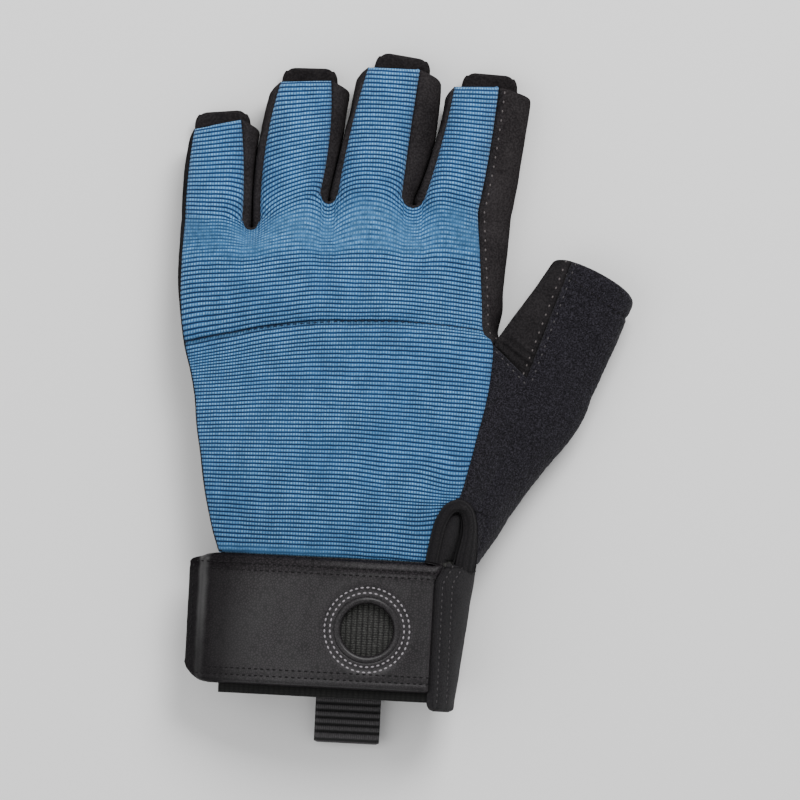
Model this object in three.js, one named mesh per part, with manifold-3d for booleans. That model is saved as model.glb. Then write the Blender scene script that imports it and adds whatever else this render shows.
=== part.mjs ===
// Half-finger climbing glove for the left hand, lying palm down.
// Units are millimetres, +Z is up, the fingers point to +Y and the thumb is at +X.
// Every sewn panel is a sheet of points that is given a wall towards the inside of the glove.
// Neighbouring sheets share the points of their seam, and each stops half a seam gap short of it.
import * as THREE from 'three';
import { mergeVertices } from 'three/addons/utils/BufferGeometryUtils.js';
import Module from 'manifold-3d';

// Hand sizes
const HAND_WIDTH = 100; // across the knuckles, the X shares below are of this
const HAND_LENGTH = 100; // cuff seam to the root of the little finger, the Y shares are of this
const HAND_HEIGHT = 30; // floor to the crown over the middle of the hand
const FINGER_LENGTH = 40; // middle finger, from the crotch to the blue hem
const FINGER_HEIGHT = 18.5; // floor to the crown at a finger's hem
const FINGER_ROOT_HEIGHT = 22; // floor to the crown of a finger at its root
const FINGER_SLANT = 5.5; // how much further the back of a finger reaches than its front
const THUMB_HEIGHT = 15; // of the thumb's mouth
const THUMB_SLANT = 3; // how much the thumb's back reaches further than its front
const WEB_DEPTH = 2.7; // of the round bottom between two fingers
const PALM_WEB_DROP = 1.5; // how much lower the palm's side of a web lies

// Walls and clearances
const SEAM_GAP = 0.3;
const KNIT_WALL = 1.6;
const LEATHER_WALL = 1.4;
const SIDE_WALL = 1.3;
const TERRY_WALL = 2.2;
const CROTCH_CLIP = 1.2; // how far the index side panel's corner is clipped at the crotch
const CROTCH_CLIP_HEIGHT = 2.2;
const PATCH_WALL = 1;
const PATCH_RECESS = 1.5; // how far the palm rises over the patch
const PALM_EDGE_RISE = 0.9; // of the palm's rounded edge above the floor

// Cuff sizes
const CUFF_LENGTH = 43.8;
const ELASTIC_LENGTH = 40.8;
const ELASTIC_WALL = 1.8;
const CUFF_BACK_WALL = 1.5;
const CUFF_CORNER = 5; // of the ring's lower corners, along X
const STRAP_WIDTH = 38.8;
const STRAP_TOP = 1.7; // below the cuff seam
const STRAP_WALL = 2.4;
const STRAP_TOP_CORNER = 2.2;
const STRAP_BOTTOM_CORNER = 6.5;
const STRAP_DROOP = 1.6; // how much the free end bends down
const CLIP_HOLE_RADIUS = 8.2;
const RIM_WIDTH = 1.6;
const RIM_STAND = 0.8; // of the rim above the strap
const RIM_HEIGHT = 3;
const TAPE_WALL = 1.8;
const TAPE_OVERHANG = 2.2; // of the edge tape beyond the cuff's lower edge
const BINDING_WALL = 1.6;
const BINDING_STAND = 0.9; // of the rolled binding above the back panel
const GUSSET_WALL = 1;
const GUSSET_FOLD = 0.45; // half the height of its folds
const GUSSET_INSET = 0.8; // of its edges from the two panels beside it
const WEBBING_WIDTH = 20.4;
const WEBBING_WALL = 1.6;
const LOOP_DROP = 14; // of the pull loop below the cuff's lower edge
const LOOP_GAP = 1.8; // between the two layers of the pull loop
const SMALL_TAPE_WIDTH = 10;
const SMALL_TAPE_WALL = 1;
const SMALL_TAPE_DROP = 4.5;
const SMALL_TAPE_TUCK = 5; // inside the cuff's lower edge
const SMALL_TAPE_SPACING = 19.5; // from the pull loop's middle
const TAB_WIDTH = 17.4;
const TAB_BASE_WIDTH = 12.5;
const TAB_WALL = 1.6;
const TAB_STAND = 4.2; // of a pull tab beyond the blue hem
const TAB_TUCK = 6; // of a pull tab inside the palm's hem
const TAB_CORNER = 3.6;
const TAB_NECK = 1; // the narrow base reaches this far beyond the palm's hem
const TAB_SHOULDER = 3; // and the full width starts here
const TAB_RISE = 5; // degrees
const TAB_SEAT = 0.4; // above the palm's inside

// Cells of the sheets
const FINGER_CELLS = 4;
const WEB_CELLS = 3;
const SIDE_CELLS = 4;
const FINGER_ROWS = 5;
const THUMB_ROWS = 6;
const THUMB_PALM_CELLS = 4;
const CROTCH_SEAM_CELLS = 2;
const THUMB_BACK_CELLS = 3;
const THUMB_UNDER_CELLS = 3;

// Rows of the hand from the cuff seam to the fingers, lengths as shares of width, length and height.
// left and right are the edges of the blue back, and bulge is how far a row arches to the fingers.
const HAND_ROWS = [
  { leftY: 0, rightY: 0, bulge: 0, leftX: -0.39, rightX: 0.27,
    leftZ: 0.64, crown: 1, rightZ: 0.9 },
  { leftY: 0.07, rightY: 0.065, bulge: 0, leftX: -0.414, rightX: 0.279,
    leftZ: 0.63, crown: 1, rightZ: 0.9 },
  { leftY: 0.13, rightY: 0.13, bulge: 0, leftX: -0.43, rightX: 0.293,
    leftZ: 0.62, crown: 1, rightZ: 0.89 },
  { leftY: 0.175, rightY: 0.175, bulge: 0.002, leftX: -0.441, rightX: 0.318,
    leftZ: 0.61, crown: 1, rightZ: 0.88 },
  { leftY: 0.205, rightY: 0.197, bulge: 0.004, leftX: -0.447, rightX: 0.354,
    leftZ: 0.6, crown: 1, rightZ: 0.86 },
  { leftY: 0.3, rightY: 0.3, bulge: 0.008, leftX: -0.463, rightX: 0.382,
    leftZ: 0.58, crown: 1, rightZ: 0.82 },
  { leftY: 0.39, rightY: 0.4, bulge: 0.014, leftX: -0.48, rightX: 0.403,
    leftZ: 0.57, crown: 0.99, rightZ: 0.79 },
  { leftY: 0.475, rightY: 0.5, bulge: 0.022, leftX: -0.49, rightX: 0.424,
    leftZ: 0.56, crown: 0.98, rightZ: 0.76 },
  { leftY: 0.55, rightY: 0.6, bulge: 0.032, leftX: -0.506, rightX: 0.436,
    leftZ: 0.55, crown: 0.97, rightZ: 0.73 },
  { leftY: 0.605, rightY: 0.695, bulge: 0.042, leftX: -0.522, rightX: 0.436,
    leftZ: 0.55, crown: 0.97, rightZ: 0.69 },
  { leftY: 0.646, rightY: 0.732, bulge: 0.047, leftX: -0.533, rightX: 0.405,
    leftZ: 0.54, crown: 0.93, rightZ: 0.66 },
  { leftY: 0.73, rightY: 0.8, bulge: 0.042, leftX: -0.548, rightX: 0.398,
    leftZ: 0.53, crown: 0.97, rightZ: 0.61 },
  { leftY: 0.82, rightY: 0.88, bulge: 0.036, leftX: -0.559, rightX: 0.391,
    leftZ: 0.51, crown: 0.93, rightZ: 0.56 },
  { leftY: 0.919, rightY: 0.983, bulge: 0.03, leftX: -0.561, rightX: 0.381,
    leftZ: 0.49, crown: 0.85, rightZ: 0.52 },
];
const ARCH_POWER = 2.2; // the higher, the flatter the crown of a row's arch
const SIDE_FLATTENING = 0.35; // of the upper half of a side wall
const CROTCH_ROW = 9;
const VENT_TOP_ROW = 4;
const LAST_HAND_ROW = HAND_ROWS.length - 1;
const ROOT_ROW = LAST_HAND_ROW + 2;

// The thumb's side of the rows up to the crotch. vent is the terry's edge, side the outer silhouette,
// under how far the terry wraps below, and split where the palm divides into hand and thumb.
const THUMB_SIDE_ROWS = [
  { ventX: 0.408, ventZ: 0.64, sideX: 0.425, sideY: 0.000, sideZ: 0.40, under: 0.23, splitX: 0.080 },
  { ventX: 0.408, ventZ: 0.66, sideX: 0.456, sideY: 0.051, sideZ: 0.38, under: 0.21, splitX: 0.110 },
  { ventX: 0.404, ventZ: 0.70, sideX: 0.485, sideY: 0.102, sideZ: 0.36, under: 0.19, splitX: 0.140 },
  { ventX: 0.388, ventZ: 0.76, sideX: 0.505, sideY: 0.137, sideZ: 0.35, under: 0.175, splitX: 0.165 },
  { ventX: 0.354, ventZ: 0.86, sideX: 0.515, sideY: 0.154, sideZ: 0.34, under: 0.165, splitX: 0.180 },
  { ventX: 0.382, ventZ: 0.82, sideX: 0.566, sideY: 0.235, sideZ: 0.32, under: 0.14, splitX: 0.240 },
  { ventX: 0.403, ventZ: 0.79, sideX: 0.620, sideY: 0.313, sideZ: 0.30, under: 0.12, splitX: 0.300 },
  { ventX: 0.424, ventZ: 0.76, sideX: 0.680, sideY: 0.392, sideZ: 0.29, under: 0.10, splitX: 0.350 },
  { ventX: 0.436, ventZ: 0.73, sideX: 0.727, sideY: 0.470, sideZ: 0.28, under: 0.085, splitX: 0.395 },
  { ventX: 0.436, ventZ: 0.69, sideX: 0.755, sideY: 0.544, sideZ: 0.28, under: 0.07, splitX: 0.432 },
];

// The index finger's side of the rows from the crotch on: the outer silhouette.
const INDEX_SIDE_X = [0.462, 0.449, 0.460, 0.458, 0.466];

// Fingers. Y and reach are for the blue back's left and right edge, reach as a share of the finger length.
// The X columns give root, middle and tip of the blue edges and of the widest side walls.
const FINGERS = [
  {
    name: 'little', leftY: 1.040, rightY: 1.039, leftReach: 0.69, rightReach: 0.78, tabTurn: 6.6,
    blueLeft: [-0.551, -0.549, -0.537], blueRight: [-0.363, -0.366, -0.383],
    wallLeft: [-0.557, -0.558, -0.545], wallRight: [-0.342, -0.343, -0.328],
  },
  {
    name: 'ring', leftY: 1.041, rightY: 1.135, leftReach: 1.09, rightReach: 0.88, tabTurn: 1.5,
    blueLeft: [-0.317, -0.313, -0.275], blueRight: [-0.124, -0.104, -0.108],
    wallLeft: [-0.332, -0.330, -0.302], wallRight: [-0.105, -0.075, -0.053],
  },
  {
    name: 'middle', leftY: 1.137, rightY: 1.137, leftReach: 1.00, rightReach: 0.995, tabTurn: -7,
    blueLeft: [-0.079, -0.049, -0.004], blueRight: [0.131, 0.147, 0.167],
    wallLeft: [-0.097, -0.060, -0.033], wallRight: [0.160, 0.216, 0.231],
  },
  {
    name: 'index', leftY: 1.136, rightY: 1.100, leftReach: 0.885, rightReach: 0.985, tabTurn: -2,
    blueLeft: [0.192, 0.237, 0.268], blueRight: [0.371, 0.399, 0.416],
    wallLeft: [0.170, 0.222, 0.245], wallRight: [0.471, 0.496, 0.514],
  },
];
const FINGER_EDGE_Z = { root: 0.70, tip: 0.72 }; // blue edge, share of the finger's height there
const FINGER_WALL_Z = 0.38; // widest place, share of the finger's height there
const FINGER_PALM_INSET = 0.018; // from the widest wall to the palm's edge, share of the width

const BLUE_INSET = 0.006; // of the blue edge from the outer silhouette
const PALM_INSET = 0.030; // of the palm's edge from the outer silhouette
const LEFT_WALL_Z = { cuff: 0.38, fingers: 0.27 }; // widest place, share of the height

// Thumb mouth: corners of its outline, and the angles of its seams round the mouth in degrees.
const THUMB_MOUTH = { innerX: 0.612, innerY: 0.964, outerX: 0.869, outerY: 0.845 };
const THUMB_SEAM_START = { x: 0.547, y: 0.593, z: 0.60 };
const THUMB_ANGLES = { seam: 132, outer: 0, under: -40, palm: -150, crotch: -200 };
const THUMB_SEAM_SHARE = 0.41; // of the way from the blue edge to the side

// The recess in the palm that the patch lies in: an ellipse.
const RECESS = { x: 0.25, y: 0.81, radiusX: 0.24, radiusY: 0.25, inner: 0.95, outer: 1.3 };
const PATCH_OUTLINE = [
  { x: 0.405, y: 0.960 }, { x: 0.330, y: 0.945 }, { x: 0.200, y: 0.885 }, { x: 0.110, y: 0.850 },
  { x: 0.066, y: 0.785 }, { x: 0.088, y: 0.705 }, { x: 0.150, y: 0.668 }, { x: 0.226, y: 0.645 },
  { x: 0.300, y: 0.615 }, { x: 0.350, y: 0.650 }, { x: 0.392, y: 0.720 }, { x: 0.410, y: 0.800 },
];

// Cuff ring at its top and bottom, shares of the hand's width and height.
const CUFF_RING = {
  leftX: [-0.386, -0.374], shoulderX: [0.270, 0.262], sideX: [0.400, 0.352],
  leftZ: 0.64, leftWallZ: 0.40, crown: 1.0, shoulderZ: 0.90, sideZ: 0.42,
};
const CUFF_BACK_CELLS = 12;
const CUFF_BACK_END = 1.66; // place on the shoulder where the knit back meets the elastic
const STRAP_RIGHT_X = 0.293;
const STRAP_LEAVES = 0.15; // place on the arch where the free end leaves the cuff
const STRAP_END_X = -0.479;
const CLIP_HOLE = { x: 0.088, down: 0.505 };
const TAPE_LEFT_X = { top: 0.327, below: 0.298 };
const TAPE_SLANT_END = 0.17; // share of the cuff's length where the tape reaches full width
const WEBBING_X = 0.042;
const WEBBING_TOP = 5.5; // below the cuff seam

// Vent between the blue back and the terry: the binding's outer and inner edge, in shares.
const VENT_BINDING = [
  { outerX: 0.273, outerY: 0.000, innerX: 0.301, innerY: 0.000 },
  { outerX: 0.283, outerY: 0.065, innerX: 0.309, innerY: 0.062 },
  { outerX: 0.297, outerY: 0.128, innerX: 0.322, innerY: 0.118 },
  { outerX: 0.322, outerY: 0.172, innerX: 0.338, innerY: 0.150 },
  { outerX: 0.355, outerY: 0.188, innerX: 0.356, innerY: 0.160 },
  { outerX: 0.384, outerY: 0.171, innerX: 0.368, innerY: 0.150 },
  { outerX: 0.400, outerY: 0.128, innerX: 0.370, innerY: 0.112 },
  { outerX: 0.404, outerY: 0.065, innerX: 0.352, innerY: 0.058 },
  { outerX: 0.404, outerY: 0.000, innerX: 0.329, innerY: 0.000 },
];

const radians = THREE.MathUtils.degToRad;
const lerp = THREE.MathUtils.lerp;
const smoothstep = THREE.MathUtils.smoothstep;

function blend(a, b, t) {
  return [lerp(a[0], b[0], t), lerp(a[1], b[1], t), lerp(a[2], b[2], t)];
}

// Value of a curve through three evenly spaced values.
function through(values, t) {
  const [a, b, c] = values;
  return 2 * (t - 0.5) * (t - 1) * a - 4 * t * (t - 1) * b + 2 * t * (t - 0.5) * c;
}

// Height of the palm's outer surface above the floor, where the patch is let in.
function recessRise(x, y) {
  const dx = (x / HAND_WIDTH - RECESS.x) / RECESS.radiusX;
  const dy = (y / HAND_LENGTH - RECESS.y) / RECESS.radiusY;
  return PATCH_RECESS * (1 - smoothstep(Math.hypot(dx, dy), RECESS.inner, RECESS.outer));
}

// Blue edge (T), widest wall (M) and palm edge (B) of a finger's two sides, at share t of its length.
function fingerEdges(index, t) {
  const finger = FINGERS[index];
  const height = lerp(FINGER_ROOT_HEIGHT, FINGER_HEIGHT, t);
  const edgeZ = height * lerp(FINGER_EDGE_Z.root, FINGER_EDGE_Z.tip, t);
  const wallZ = height * FINGER_WALL_Z;
  const inset = FINGER_PALM_INSET * HAND_WIDTH;
  const side = (rootY, reach, blue, wall, inward) => {
    const y = rootY * HAND_LENGTH + reach * FINGER_LENGTH * t;
    const front = PALM_WEB_DROP + FINGER_SLANT * t;
    const wallX = through(wall, t) * HAND_WIDTH;
    return {
      T: [through(blue, t) * HAND_WIDTH, y, edgeZ],
      M: [wallX, y - front * 0.45, wallZ],
      B: [wallX + inward * inset, y - front, PALM_EDGE_RISE],
    };
  };
  return {
    left: side(finger.leftY, finger.leftReach, finger.blueLeft, finger.wallLeft, 1),
    right: side(finger.rightY, finger.rightReach, finger.blueRight, finger.wallRight, -1),
    crown: height,
  };
}

function blendEdges(a, b, t) {
  return { T: blend(a.T, b.T, t), M: blend(a.M, b.M, t), B: blend(a.B, b.B, t) };
}

// Left side of the hand at a row, from the blue edge to the palm's edge.
function leftEdges(row) {
  if (row === ROOT_ROW) return fingerEdges(0, 0).left;
  if (row > LAST_HAND_ROW) return blendEdges(leftEdges(LAST_HAND_ROW), leftEdges(ROOT_ROW), 0.5);
  const r = HAND_ROWS[row];
  const y = r.leftY * HAND_LENGTH;
  const x = r.leftX * HAND_WIDTH;
  const wallZ = lerp(LEFT_WALL_Z.cuff, LEFT_WALL_Z.fingers, row / LAST_HAND_ROW) * HAND_HEIGHT;
  return {
    T: [x + BLUE_INSET * HAND_WIDTH, y, r.leftZ * HAND_HEIGHT],
    M: [x, y, wallZ],
    B: [x + PALM_INSET * HAND_WIDTH, y, PALM_EDGE_RISE],
  };
}

// Right edge of the blue back at a row.
function blueRight(row) {
  if (row === ROOT_ROW) return fingerEdges(3, 0).right.T;
  if (row > LAST_HAND_ROW) return blend(blueRight(LAST_HAND_ROW), blueRight(ROOT_ROW), 0.5);
  const r = HAND_ROWS[row];
  return [r.rightX * HAND_WIDTH, r.rightY * HAND_LENGTH, r.rightZ * HAND_HEIGHT];
}

// Index side of the hand at a row from the crotch on.
function rightEdges(row) {
  if (row === ROOT_ROW) return fingerEdges(3, 0).right;
  if (row > LAST_HAND_ROW) return blendEdges(rightEdges(LAST_HAND_ROW), rightEdges(ROOT_ROW), 0.5);
  const T = blueRight(row);
  const x = INDEX_SIDE_X[row - CROTCH_ROW] * HAND_WIDTH;
  const y = T[1] - 0.01 * HAND_LENGTH;
  const palmX = x - PALM_INSET * HAND_WIDTH;
  return {
    T,
    M: [x, (T[1] + y) / 2, LEFT_WALL_Z.fingers * HAND_HEIGHT],
    B: [palmX, y, PALM_EDGE_RISE + recessRise(palmX, y)],
  };
}

// Where the palm divides into hand and thumb, at a row up to the crotch.
function palmSplit(row) {
  if (row === CROTCH_ROW) return rightEdges(row).B;
  const x = THUMB_SIDE_ROWS[row].splitX * HAND_WIDTH;
  const y = HAND_ROWS[row].rightY * HAND_LENGTH;
  return [x, y, recessRise(x, y)];
}

// Thumb side silhouette and the seam under it, at a row up to the crotch.
function thumbSide(row) {
  const r = THUMB_SIDE_ROWS[row];
  return [r.sideX * HAND_WIDTH, r.sideY * HAND_LENGTH, r.sideZ * HAND_HEIGHT];
}

function thumbUnder(row, share) {
  const side = thumbSide(row);
  const split = palmSplit(row);
  const reach = Math.hypot(split[0] - side[0], split[1] - side[1]);
  const point = blend(side, split, (share * THUMB_SIDE_ROWS[row].under * HAND_WIDTH) / reach);
  point[2] = PALM_EDGE_RISE;
  return point;
}

// A point of the round bottom of a web, at the blue edge (T), the middle (M) or the palm (B).
function webPoint(index, level, t) {
  const a = fingerEdges(index, 0).right[level];
  const b = fingerEdges(index + 1, 0).left[level];
  const point = blend(a, b, (1 - Math.cos(Math.PI * t)) / 2);
  if (t > 0 && t < 1) point[1] -= WEB_DEPTH * Math.sin(Math.PI * t);
  return point;
}

// The line along the finger roots, at the blue edge (T) or the palm (B), with an arch over each finger.
function rootLine(level) {
  const points = [];
  FINGERS.forEach((finger, index) => {
    for (let j = 0; j <= FINGER_CELLS; j += 1) points.push(fingerPoint(index, level, 0, j / FINGER_CELLS));
    if (index < FINGERS.length - 1) {
      for (let j = 1; j < WEB_CELLS; j += 1) points.push(webPoint(index, level, j / WEB_CELLS));
    }
  });
  return points;
}

// A point of a finger's back (T) or front (B), at share t of its length and u of its width.
function fingerPoint(index, level, t, u) {
  const edges = fingerEdges(index, t);
  const point = blend(edges.left[level], edges.right[level], u);
  const spread = Math.abs(2 * u - 1);
  if (level === 'T') point[2] += (edges.crown - point[2]) * (1 - spread ** ARCH_POWER);
  else point[2] *= spread ** 4;
  return point;
}

// A point of the side wall from the blue edge over the widest place to the palm's edge.
function wallPoint(edges, j) {
  const half = SIDE_CELLS / 2;
  if (j <= half) {
    const t = j / half;
    const angle = (t * Math.PI) / 2;
    const round = [
      lerp(edges.T[0], edges.M[0], Math.sin(angle)),
      lerp(edges.T[1], edges.M[1], t),
      lerp(edges.M[2], edges.T[2], Math.cos(angle)),
    ];
    return t === 0 || t === 1 ? round : blend(round, blend(edges.T, edges.M, t), SIDE_FLATTENING);
  }
  const t = (j - half) / half;
  const angle = (t * Math.PI) / 2;
  return [
    lerp(edges.B[0], edges.M[0], Math.cos(angle)),
    lerp(edges.M[1], edges.B[1], t),
    lerp(edges.M[2], edges.B[2], Math.sin(angle)),
  ];
}

function wallLine(edges) {
  return Array.from({ length: SIDE_CELLS + 1 }, (_, j) => wallPoint(edges, j));
}

const backRoots = rootLine('T');
const palmRoots = rootLine('B');

function shareAlong(points, j) {
  const first = points[0][0];
  const last = points[points.length - 1][0];
  return (points[j][0] - first) / (last - first);
}

// A row of the blue back.
function backRow(row) {
  if (row === ROOT_ROW) return backRoots;
  if (row > LAST_HAND_ROW) {
    const below = backRow(LAST_HAND_ROW);
    return backRoots.map((point, j) => blend(below[j], point, 0.5));
  }
  const left = leftEdges(row).T;
  const right = blueRight(row);
  const r = HAND_ROWS[row];
  const crown = r.crown * HAND_HEIGHT;
  const middle = (left[2] + right[2]) / 2;
  return backRoots.map((_, j) => {
    const u = shareAlong(backRoots, j);
    const point = blend(left, right, u);
    point[1] += 4 * u * (1 - u) * r.bulge * HAND_LENGTH;
    point[2] += (crown - middle) * (1 - Math.abs(2 * u - 1) ** ARCH_POWER);
    return point;
  });
}

// A row of the palm, from its left edge to the index side or to the split with the thumb.
function palmRow(row) {
  if (row === ROOT_ROW) return palmRoots;
  if (row > LAST_HAND_ROW) {
    const below = palmRow(LAST_HAND_ROW);
    return palmRoots.map((point, j) => blend(below[j], point, 0.5));
  }
  const left = leftEdges(row).B;
  const right = row < CROTCH_ROW ? palmSplit(row) : rightEdges(row).B;
  const last = palmRoots.length - 1;
  return palmRoots.map((_, j) => {
    const u = shareAlong(palmRoots, j);
    if (j === 0) return left;
    if (j === last) return right;
    const point = blend(left, right, u);
    point[1] += 4 * u * (1 - u) * HAND_ROWS[row].bulge * HAND_LENGTH;
    point[2] = recessRise(point[0], point[1]);
    return point;
  });
}

// The palm's continuation under the thumb, from the split to the terry's seam.
function thumbPalmRow(row) {
  const split = palmSplit(row);
  const seam = thumbUnder(row, 1);
  const points = [];
  for (let j = 0; j <= THUMB_PALM_CELLS; j += 1) {
    const t = j / THUMB_PALM_CELLS;
    const point = blend(split, seam, t);
    if (j > 0 && j < THUMB_PALM_CELLS) point[2] = recessRise(point[0], point[1]);
    points.push(point);
  }
  return points;
}

// Where the thumb's top seam line crosses a row of the terry.
function seamCrossing(row) {
  const edge = terryEdge(row);
  const straight = blend(edge, thumbSide(row), THUMB_SEAM_SHARE);
  const crotch = blend(terryEdge(CROTCH_ROW), thumbSide(CROTCH_ROW), THUMB_SEAM_SHARE);
  const weight = (row / CROTCH_ROW) ** 3;
  const start = THUMB_SEAM_START;
  const rise = terryHeight(row, THUMB_SEAM_SHARE);
  return [
    straight[0] + weight * (start.x * HAND_WIDTH - crotch[0]),
    straight[1] + weight * (start.y * HAND_LENGTH - crotch[1]),
    lerp(rise, start.z * HAND_HEIGHT, weight),
  ];
}

function terryEdge(row) {
  const r = THUMB_SIDE_ROWS[row];
  return [r.ventX * HAND_WIDTH, HAND_ROWS[row].rightY * HAND_LENGTH, r.ventZ * HAND_HEIGHT];
}

// Height of the terry at share s of the way from the blue edge to the side.
function terryHeight(row, s) {
  const top = terryEdge(row)[2];
  const side = thumbSide(row)[2];
  const round = Math.sqrt(Math.max(0, 1 - s * s));
  return side + (top - side) * (0.6 * (1 - s) + 0.4 * round);
}

// A row of the terry: from the blue edge along the crotch seam's place, over the side, to the seam below.
function terryRow(row) {
  const edge = terryEdge(row);
  const crossing = seamCrossing(row);
  const side = thumbSide(row);
  const points = [];
  for (let j = 0; j < CROTCH_SEAM_CELLS; j += 1) {
    const t = j / CROTCH_SEAM_CELLS;
    const point = blend(edge, crossing, t);
    if (j > 0) point[2] += (terryHeight(row, t * THUMB_SEAM_SHARE) - point[2]) * (1 - row / CROTCH_ROW);
    points.push(point);
  }
  for (let j = 0; j <= THUMB_BACK_CELLS; j += 1) {
    const angle = (j / THUMB_BACK_CELLS) * (Math.PI / 2);
    points.push([
      lerp(crossing[0], side[0], Math.sin(angle)),
      lerp(crossing[1], side[1], Math.sin(angle)),
      lerp(side[2], crossing[2], 0.6 * Math.cos(angle) + 0.4 * (1 - Math.sin(angle))),
    ]);
  }
  const corner = thumbUnder(row, 0.55);
  points.push([
    lerp(side[0], corner[0], 0.3),
    lerp(side[1], corner[1], 0.3),
    lerp(side[2], corner[2], 0.7),
  ]);
  points.push(corner);
  points.push(thumbUnder(row, 1));
  return points;
}

// The closed ring at the thumb's base, from the top seam over the side and the palm to the top seam.
function thumbBaseRing() {
  const terry = terryRow(CROTCH_ROW).slice(CROTCH_SEAM_CELLS);
  const palm = thumbPalmRow(CROTCH_ROW).reverse();
  const crotch = wallLine(rightEdges(CROTCH_ROW)).reverse();
  const seam = terryRow(CROTCH_ROW).slice(0, CROTCH_SEAM_CELLS + 1);
  return { terry, leather: [...palm, ...crotch.slice(1), ...seam.slice(1)] };
}

// The same number of points round the thumb's mouth.
function thumbMouthPoint(angle) {
  const mouth = THUMB_MOUTH;
  const inner = new THREE.Vector2(mouth.innerX * HAND_WIDTH, mouth.innerY * HAND_LENGTH);
  const outer = new THREE.Vector2(mouth.outerX * HAND_WIDTH, mouth.outerY * HAND_LENGTH);
  const across = outer.clone().sub(inner).multiplyScalar(0.5);
  const middle = inner.clone().add(across);
  const along = new THREE.Vector2(-across.y, across.x).normalize();
  const c = Math.cos(radians(angle));
  const s = Math.sin(radians(angle));
  return [
    middle.x + across.x * c + along.x * THUMB_SLANT * s,
    middle.y + across.y * c + along.y * THUMB_SLANT * s,
    PALM_EDGE_RISE + (THUMB_HEIGHT / 2) * (1 + s),
  ];
}

function thumbMouth() {
  const a = THUMB_ANGLES;
  const arc = (from, to, cells) =>
    Array.from({ length: cells }, (_, j) => thumbMouthPoint(lerp(from, to, j / cells)));
  const terry = [
    ...arc(a.seam, a.outer, THUMB_BACK_CELLS),
    ...arc(a.outer, a.under, THUMB_UNDER_CELLS),
    thumbMouthPoint(a.under),
  ];
  const leather = [
    ...arc(a.under, a.palm, THUMB_PALM_CELLS),
    ...arc(a.palm, a.crotch, SIDE_CELLS),
    ...arc(a.crotch, a.seam - 360, CROTCH_SEAM_CELLS),
    thumbMouthPoint(a.seam),
  ];
  return { terry, leather };
}

// A sheet collects quads on shared points. Its normals point out of the glove.
class Sheet {
  constructor() {
    this.points = [];
    this.places = new Map();
    this.quads = [];
  }

  vertex(point) {
    const key = placeKey(point);
    if (!this.places.has(key)) {
      this.places.set(key, this.points.length);
      this.points.push(new THREE.Vector3(...point));
    }
    return this.places.get(key);
  }

  add(rows, flip = false) {
    for (let i = 0; i + 1 < rows.length; i += 1) {
      for (let j = 0; j + 1 < rows[i].length; j += 1) {
        const corners = [rows[i][j], rows[i][j + 1], rows[i + 1][j + 1], rows[i + 1][j]];
        const quad = corners.map((corner) => this.vertex(corner));
        this.quads.push(flip ? quad.reverse() : quad);
      }
    }
    return this;
  }

  quadNormal(quad) {
    const [a, b, c, d] = quad.map((index) => this.points[index]);
    return new THREE.Vector3().crossVectors(c.clone().sub(a), d.clone().sub(b));
  }

  vertexNormals() {
    const normals = this.points.map(() => new THREE.Vector3());
    this.quads.forEach((quad) => {
      const normal = this.quadNormal(quad);
      quad.forEach((index) => normals[index].add(normal));
    });
    return normals.map((normal) => normal.normalize());
  }

  // Edges with one quad only, each in the direction that keeps the sheet on its left.
  rim() {
    const edges = new Map();
    this.quads.forEach((quad) => {
      quad.forEach((start, j) => {
        const end = quad[(j + 1) % 4];
        const opposite = `${end}_${start}`;
        if (edges.has(opposite)) edges.delete(opposite);
        else edges.set(`${start}_${end}`, { start, end, normal: this.quadNormal(quad).normalize() });
      });
    });
    return [...edges.values()];
  }
}

function placeKey(point) {
  return [point[0], point[1], point[2]].map((value) => Math.round(value * 500)).join('_');
}

// Directions of the walls where sheets meet: the mean of the normals of all sheets at that place.
function seamDirections(sheets) {
  const directions = new Map();
  sheets.forEach((sheet) => {
    sheet.vertexNormals().forEach((normal, index) => {
      const key = placeKey(sheet.points[index].toArray());
      if (!directions.has(key)) directions.set(key, new THREE.Vector3());
      directions.get(key).add(normal);
    });
  });
  directions.forEach((direction) => direction.normalize());
  return directions;
}

// The closed solid of a sheet with its wall towards the inside, its edges half a seam gap short.
function thicken(sheet, wall, directions) {
  const normals = sheet.vertexNormals();
  const walls = sheet.points.map((point, index) => {
    const direction = directions.get(placeKey(point.toArray())).clone();
    const lean = Math.max(direction.dot(normals[index]), 0.75);
    return direction.multiplyScalar(-wall / lean);
  });
  const pull = sheet.points.map(() => new THREE.Vector3());
  const rim = sheet.rim();
  rim.forEach(({ start, end, normal }) => {
    const along = sheet.points[end].clone().sub(sheet.points[start]).normalize();
    const inward = new THREE.Vector3().crossVectors(normal, along);
    pull[start].add(inward);
    pull[end].add(inward);
  });
  const outer = sheet.points.map((point, index) => {
    const inward = pull[index];
    if (inward.lengthSq() === 0) return point.clone();
    const strength = Math.max(inward.length() / 2, 0.5);
    inward.normalize();
    const across = walls[index].clone().normalize();
    const clear = Math.sqrt(Math.max(1 - inward.dot(across) ** 2, 0.2));
    return point.clone().addScaledVector(inward, SEAM_GAP / 2 / clear / strength);
  });
  const inner = outer.map((point, index) => point.clone().add(walls[index]));
  const count = outer.length;
  const triangles = [];
  sheet.quads.forEach(([a, b, c, d]) => {
    triangles.push([a, b, c], [a, c, d]);
    triangles.push([count + a, count + c, count + b], [count + a, count + d, count + c]);
  });
  rim.forEach(({ start, end }) => {
    triangles.push([end, start, count + start], [end, count + start, count + end]);
  });
  return solid([...outer, ...inner], triangles);
}

function solid(points, triangles) {
  const geometry = new THREE.BufferGeometry();
  geometry.setAttribute('position', new THREE.Float32BufferAttribute(points.flatMap((p) => p.toArray()), 3));
  geometry.setIndex(triangles.flat());
  geometry.computeVertexNormals();
  return geometry;
}

function range(first, last) {
  return Array.from({ length: last - first + 1 }, (_, i) => first + i);
}

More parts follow.
